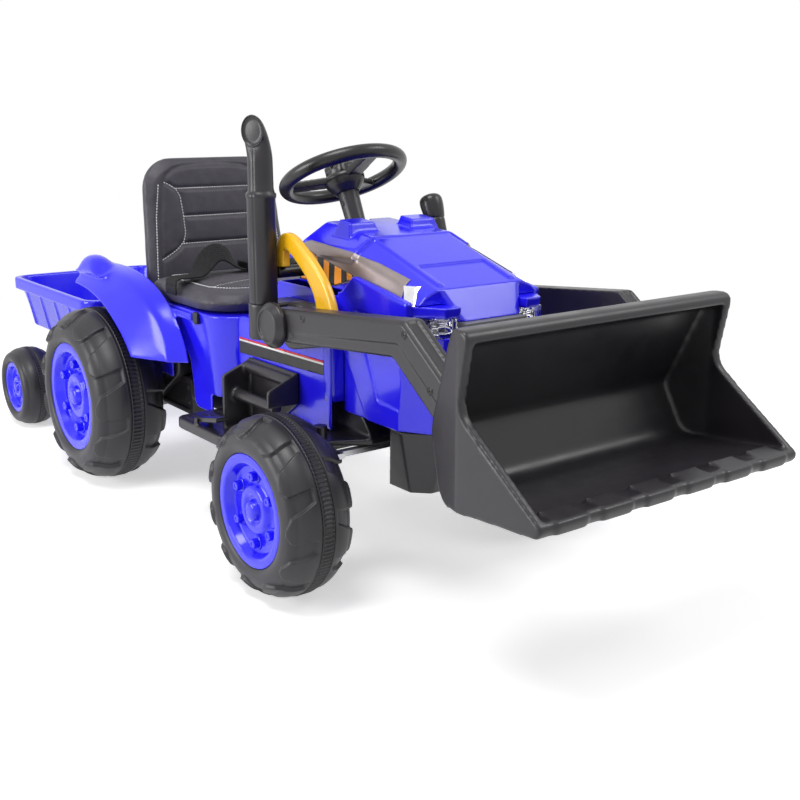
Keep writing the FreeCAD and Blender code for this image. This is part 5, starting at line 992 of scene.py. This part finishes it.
GROUND = [(ZONE_BACK, ZONE_LOW), (ZONE_BACK, ZONE_HIGH), (ZONE_FRONT, zone_top(ZONE_FRONT)),
          (ZONE_FRONT, ZONE_TIP), (ZONE_TURN, ZONE_LOW)]
for hand, side in SIDES:
    film_piece("side_panel_" + hand, PANEL, BONNET_TILT, side, BONNET_TREE, BRONZE,
               PANEL_LIFT)
    film_piece("stripe_ground_" + hand, GROUND, BONNET_TILT, side, BONNET_TREE, FILM_BLACK,
               GROUND_LIFT)
    for k, (x0, x1) in enumerate(STRIPES):
        film_piece("stripe_%d_%s" % (k + 1, hand), stripe_outline(x0, x1), BONNET_TILT, side, BONNET_TREE,
                   FILM_ORANGE, STRIPE_LIFT)
    film_piece("body_band_" + hand, BAND, 0.0, side, BODY_TREE, FILM_BLACK, BAND_LIFT)
    film_piece("body_line_white_" + hand, WHITE_LINE, 0.0, side, BODY_TREE, FILM_WHITE,
               LINE_LIFT)
    film_piece("body_line_red_" + hand, RED_LINE, 0.0, side, BODY_TREE, FILM_RED, LINE_LIFT)


# Lift lever: a curved, tapering arm with rounded edges that ends in a hook round its grip

LEVER_Y, LEVER_THICK = -0.165, 0.0135
LEVER_ROUTE = ((398, 384, 36), (403, 402, 42), (391, 432, 36), (367, 458, 30), (341, 477, 27),
               (318, 490.5, 26), (301, 493.5, 25), (290, 485, 23), (287, 470, 21), (288, 456, 20))


def smooth_curve(points, count):
    """Catmull-Rom curve through points."""
    pts = np.array(points, float)
    pts = np.vstack([2 * pts[0] - pts[1], pts, 2 * pts[-1] - pts[-2]])
    out = []
    spans = len(pts) - 3
    for k in range(spans):
        a, b, c, d = pts[k:k + 4]
        for t in np.linspace(0.0, 1.0, count, endpoint=k == spans - 1):
            out.append(0.5 * (2 * b + (c - a) * t + (2 * a - 5 * b + 4 * c - d) * t**2
                              + (3 * b - a - 3 * c + d) * t**3))
    return np.array(out)


def lift_lever():
    """Sweep of a rounded bar along the lever's side view. Each point is x, z and the bar's width there."""
    route = smooth_curve(LEVER_ROUTE, 9) * MM
    mid, widths = route[:, :2], route[:, 2]
    along = directions(mid)
    across = np.stack([-along[:, 1], along[:, 0]], axis=1)
    section = []
    for k in range(20):
        t = 2 * math.pi * (k + 0.5) / 20
        c, s = math.cos(t), math.sin(t)
        section.append((math.copysign(abs(c) ** 0.35, c), math.copysign(abs(s) ** 0.45, s)))
    rows = []
    for p, n, w in zip(mid, across, widths):
        places = [p + n * a * w / 2 for a, _ in section]
        rows.append([(q[0], LEVER_Y + b * LEVER_THICK / 2, q[1]) for q, (_, b) in zip(places, section)])
    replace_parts(loft("lever_arm", rows, "loader", YELLOW), "lift_lever")


lift_lever()


# Gear lever: round rod with a club-shaped knob

GEAR_FOOT, GEAR_TOP = Vector((0.3150, 0.1230, 0.4370)), Vector((0.2678, 0.1230, 0.5430))
GEAR_AXIS = (GEAR_TOP - GEAR_FOOT).normalized()
GEAR_PROFILE = ((-8, 0), (-7, 5), (-3, 8.5), (2, 8.5), (6, 7), (30, 6.6), (50, 6.4), (52, 10.5), (55, 13.2),
                (64, 14.0), (75, 14.8), (77, 14.0), (79, 15.2), (84, 16.4), (94, 17.9), (103, 18.6),
                (110, 18.0), (115, 15), (118, 9), (119, 0))
gear_section = [(max(r, 0.0002), t) for t, r in smooth_curve(GEAR_PROFILE, 4) * MM]
gear_rows = turned(gear_section, GEAR_FOOT, GEAR_AXIS, 40)
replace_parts(loft("gear_stick", gear_rows, "gear_lever", BLACK_FINE), "gear_lever")


# Exhaust: two moulded halves with a parting line, a collar and a bent tip with a closed oval end

STACK_AXIS, STACK_TIP = Vector((0.2795, -0.1945, 0.0)), Vector((0.2830, -0.2080, 0.6480))
STACK_FACE = Vector((0.45, -0.893, 0.0)).normalized()
STACK_PROFILE = ((405, 20.6), (408, 20.9), (480, 20.9), (554, 20.7), (556.5, 21.9), (561, 21.9),
                 (563.5, 19.2), (566, 18.4), (585, 18.1), (606, 17.9))
STACK_OVAL = (0.0184, 0.0220)
STACK_SEAM, STACK_SEAM_WIDTH = 0.0009, 0.0016
STACK_END = ((0.96, -0.0008), (0.92, 0.0), (0.89, 0.0022), (0.60, 0.0016), (0.30, 0.0012), (0.02, 0.0010))


def exhaust():
    level = Vector((-STACK_FACE.y, STACK_FACE.x, 0.0))
    up = -DOWN
    turns = circle(96)
    rows = []
    for z, r in STACK_PROFILE:
        row = []
        for t in turns:
            reach = r * MM - STACK_SEAM * math.exp(-((math.sin(t) + 1.0) / STACK_SEAM_WIDTH) ** 2)
            row.append(STACK_AXIS + up * z * MM + (level * math.cos(t) - STACK_FACE * math.sin(t)) * reach)
        rows.append(row)
    foot = rows[-1]
    tip = [STACK_TIP + level * math.cos(t) * STACK_OVAL[0] + up * math.sin(t) * STACK_OVAL[1] for t in turns]
    for s in np.linspace(0.0, 1.0, 15)[1:]:
        row = []
        for a, b, t in zip(foot, tip, turns):
            leave = up * (b.z - a.z) * 1.2
            arrive = STACK_FACE * (0.019 + 0.011 * math.sin(t))
            row.append(a * (2 * s**3 - 3 * s**2 + 1) + leave * (s**3 - 2 * s**2 + s)
                       + b * (3 * s**2 - 2 * s**3) + arrive * (s**3 - s**2))
        rows.append(row)
    for shrink, depth in STACK_END:
        rows.append([STACK_TIP + (b - STACK_TIP) * shrink - STACK_FACE * depth for b in tip])
    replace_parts(loft("exhaust_pipe", rows, "tractor", BLACK), "exhaust_stack")


exhaust()


# Steering cup: the flared skirt under the wheel's hub

STEER_PLACE = Vector((0.2035, 0.0, 0.5770))
STEER_AXIS = Vector((-math.cos(math.radians(64.0)), 0.0, math.sin(math.radians(64.0))))
CUP_PROFILE = ((20, 0), (27, 0), (31, -2.5), (32.6, -7), (31.5, -13), (27.5, -20), (22.5, -26),
               (19.6, -29.5), (18.4, -30.5), (17.8, -29.5), (17.8, -17), (20, -14))
cup_section = [p * MM for p in rounded_path(CUP_PROFILE + CUP_PROFILE[:1], 1.5)[:-1]]
cup_verts = [p for row in turned(cup_section, STEER_PLACE, STEER_AXIS, 64) for p in row]
cup_faces = [tuple(v % len(cup_verts) for v in f) for f in strip(len(cup_section) + 1, 64)]
face_out(piece("steering_cup", cup_verts, cup_faces, "steering", BLACK_FINE))


# Horn buttons: domed caps with room in their wells

HORN_ROOM, HORN_SHORT = 0.0009, 0.0014


def horn_cap(hand):
    node = NODES["horn_button_" + hand]
    places = [v.co - STEER_PLACE for v in node.data.vertices]
    heights = [p.dot(STEER_AXIS) for p in places]
    low, high = min(heights) + HORN_SHORT, max(heights)
    left, right = min(p.y for p in places), max(p.y for p in places)
    radius = (right - left) / 2 - HORN_ROOM
    centre = STEER_PLACE + Vector((0.0, (left + right) / 2, 0.0))
    profile = ((0.02, low), (0.94, low), (1.0, low + 0.0005), (1.0, high - 0.0014), (0.95, high - 0.0006),
               (0.80, high - 0.0002), (0.55, high - 0.0001), (0.50, high - 0.0005), (0.02, high - 0.0003))
    section = [(r * radius, a) for r, a in profile]
    rows = turned(section, centre, STEER_AXIS, 40)
    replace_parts(loft("horn_cap_" + hand, rows, "horn_" + hand, RED), "horn_button_" + hand)


for hand, _ in SIDES:
    horn_cap(hand)


# Shoulder panels that close the step between the middle body and the skirt

SHOULDER_CORNER = ((346, 135.4), (357, 134.8), (362.5, 130), (363.5, 121), (363.5, 111))
SHOULDER_LOW, SHOULDER_TOP, SHOULDER_WALL = 0.262, 0.420, 0.002
for hand, side in SIDES:
    corner = smooth_curve(SHOULDER_CORNER, 6) * MM
    heights = np.linspace(SHOULDER_LOW, SHOULDER_TOP, 12)
    rows = [[(x, side * y, z) for x, y in corner] for z in heights]
    plate("shoulder_panel_" + hand, rows, side > 0, SHOULDER_WALL, -1.0, BLUE)


# Screws: pan heads in shallow cups, with a cross recess

SCREW_RINGS = ((1.35, -0.0010), (1.35, 0.0004), (1.12, 0.0006), (1.02, -0.0006), (0.98, -0.0006),
               (0.94, 0.0002), (0.62, 0.0007), (0.40, 0.0008))
CROSS_DEPTH, CROSS_REACH, CROSS_MIDDLE = 0.0012, 0.36, 0.12


def screw(name, place, axis, radius, body):
    axis = Vector(axis).normalized()
    u = axis.orthogonal().normalized()
    w = axis.cross(u)
    ways = [u * math.cos(t) + w * math.sin(t) for t in circle(24)]
    rows = [[Vector(place) + way * r * radius + axis * h for way in ways] for r, h in SCREW_RINGS]
    cross = [CROSS_REACH if max(abs(way.dot(u)), abs(way.dot(w))) > 0.93 else CROSS_MIDDLE for way in ways]
    rows.append([Vector(place) + way * r * radius - axis * CROSS_DEPTH for way, r in zip(ways, cross)])
    loft(name, rows, body, BLACK_FINE)


# Gearbox covers: dished side plates on the chassis, each with two screws

COVER_X, COVER_Y, COVER_Z, COVER_ROUND = (-0.226, -0.098), (0.097, 0.126), (0.136, 0.206), 0.012
COVER_RINGS = ((0.0, COVER_Y[0]), (0.0, COVER_Y[1] - 0.004), (0.0012, COVER_Y[1] - 0.0012),
               (0.004, COVER_Y[1]), (0.010, COVER_Y[1]), (0.0115, COVER_Y[1] - 0.0022),
               (0.016, COVER_Y[1] - 0.0024))


for hand, side in SIDES:
    rings = []
    for inset, y in COVER_RINGS:
        low, high = (COVER_X[0] + inset, COVER_Z[0] + inset), (COVER_X[1] - inset, COVER_Z[1] - inset)
        outline = rounded_box(low, high, [max(0.002, COVER_ROUND - inset)] * 4, 6)
        rings.append([(x, side * y, z) for x, z in outline])
    cover = loft("gearbox_cover_" + hand, rings, "tractor", BLACK)
    cover.data.set_sharp_from_angle(angle=math.radians(40))
    for k, z in enumerate((COVER_Z[0] + 0.022, COVER_Z[0] + 0.050)):
        screw("cover_screw_%d_%s" % (k + 1, hand), (COVER_X[1] - 0.020, side * (COVER_Y[1] - 0.0022), z),
              (0.0, side, 0.0), 0.0036, "tractor")


# Arm screws

ARM_SCREWS = ((0.4048, 0.4004), (0.6324, 0.4153), (0.6830, 0.3560))
ARM_TREES = {hand: surface(NODES["arm_" + hand]) for hand, _ in SIDES}
for hand, side in SIDES:
    for k, (x, z) in enumerate(ARM_SCREWS):
        hit = ARM_TREES[hand].ray_cast(Vector((x, side * 0.5, z)), Vector((0.0, -side, 0.0)))[0]
        if hit is not None:
            screw("arm_screw_%d_%s" % (k + 1, hand), hit, (0.0, side, 0.0), 0.0042, "loader")


# Headlamp bowls behind the clear lenses

BOWL_ROWS, BOWL_COLS, BOWL_WALL = 15, 25, 0.0012
BOWL_BACK, BOWL_DEEP, BOWL_SWEEP, FLUTE = 0.013, 0.010, 0.006, 0.0006
BOWL_Y, BOWL_HALF_Y, BOWL_Z, BOWL_HALF_Z = 0.0765, 0.0135, 0.397, 0.0095
lens_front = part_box("headlights")[1][0]
for hand, side in SIDES:
    rows = []
    for z in np.linspace(-1.0, 1.0, BOWL_ROWS):
        row = []
        for y in np.linspace(-1.0, 1.0, BOWL_COLS):
            bowl = BOWL_DEEP * (1.0 - min(1.0, y * y)) * (1.0 - min(1.0, z * z))
            flute = FLUTE * math.cos(y * 14 * math.pi)
            row.append((lens_front - BOWL_BACK - bowl + flute - BOWL_SWEEP * max(0.0, y),
                        side * (BOWL_Y + BOWL_HALF_Y * y), BOWL_Z + BOWL_HALF_Z * z))
        rows.append(row)
    plate("lamp_bowl_" + hand, rows, side < 0, BOWL_WALL, -1.0, CHROME)
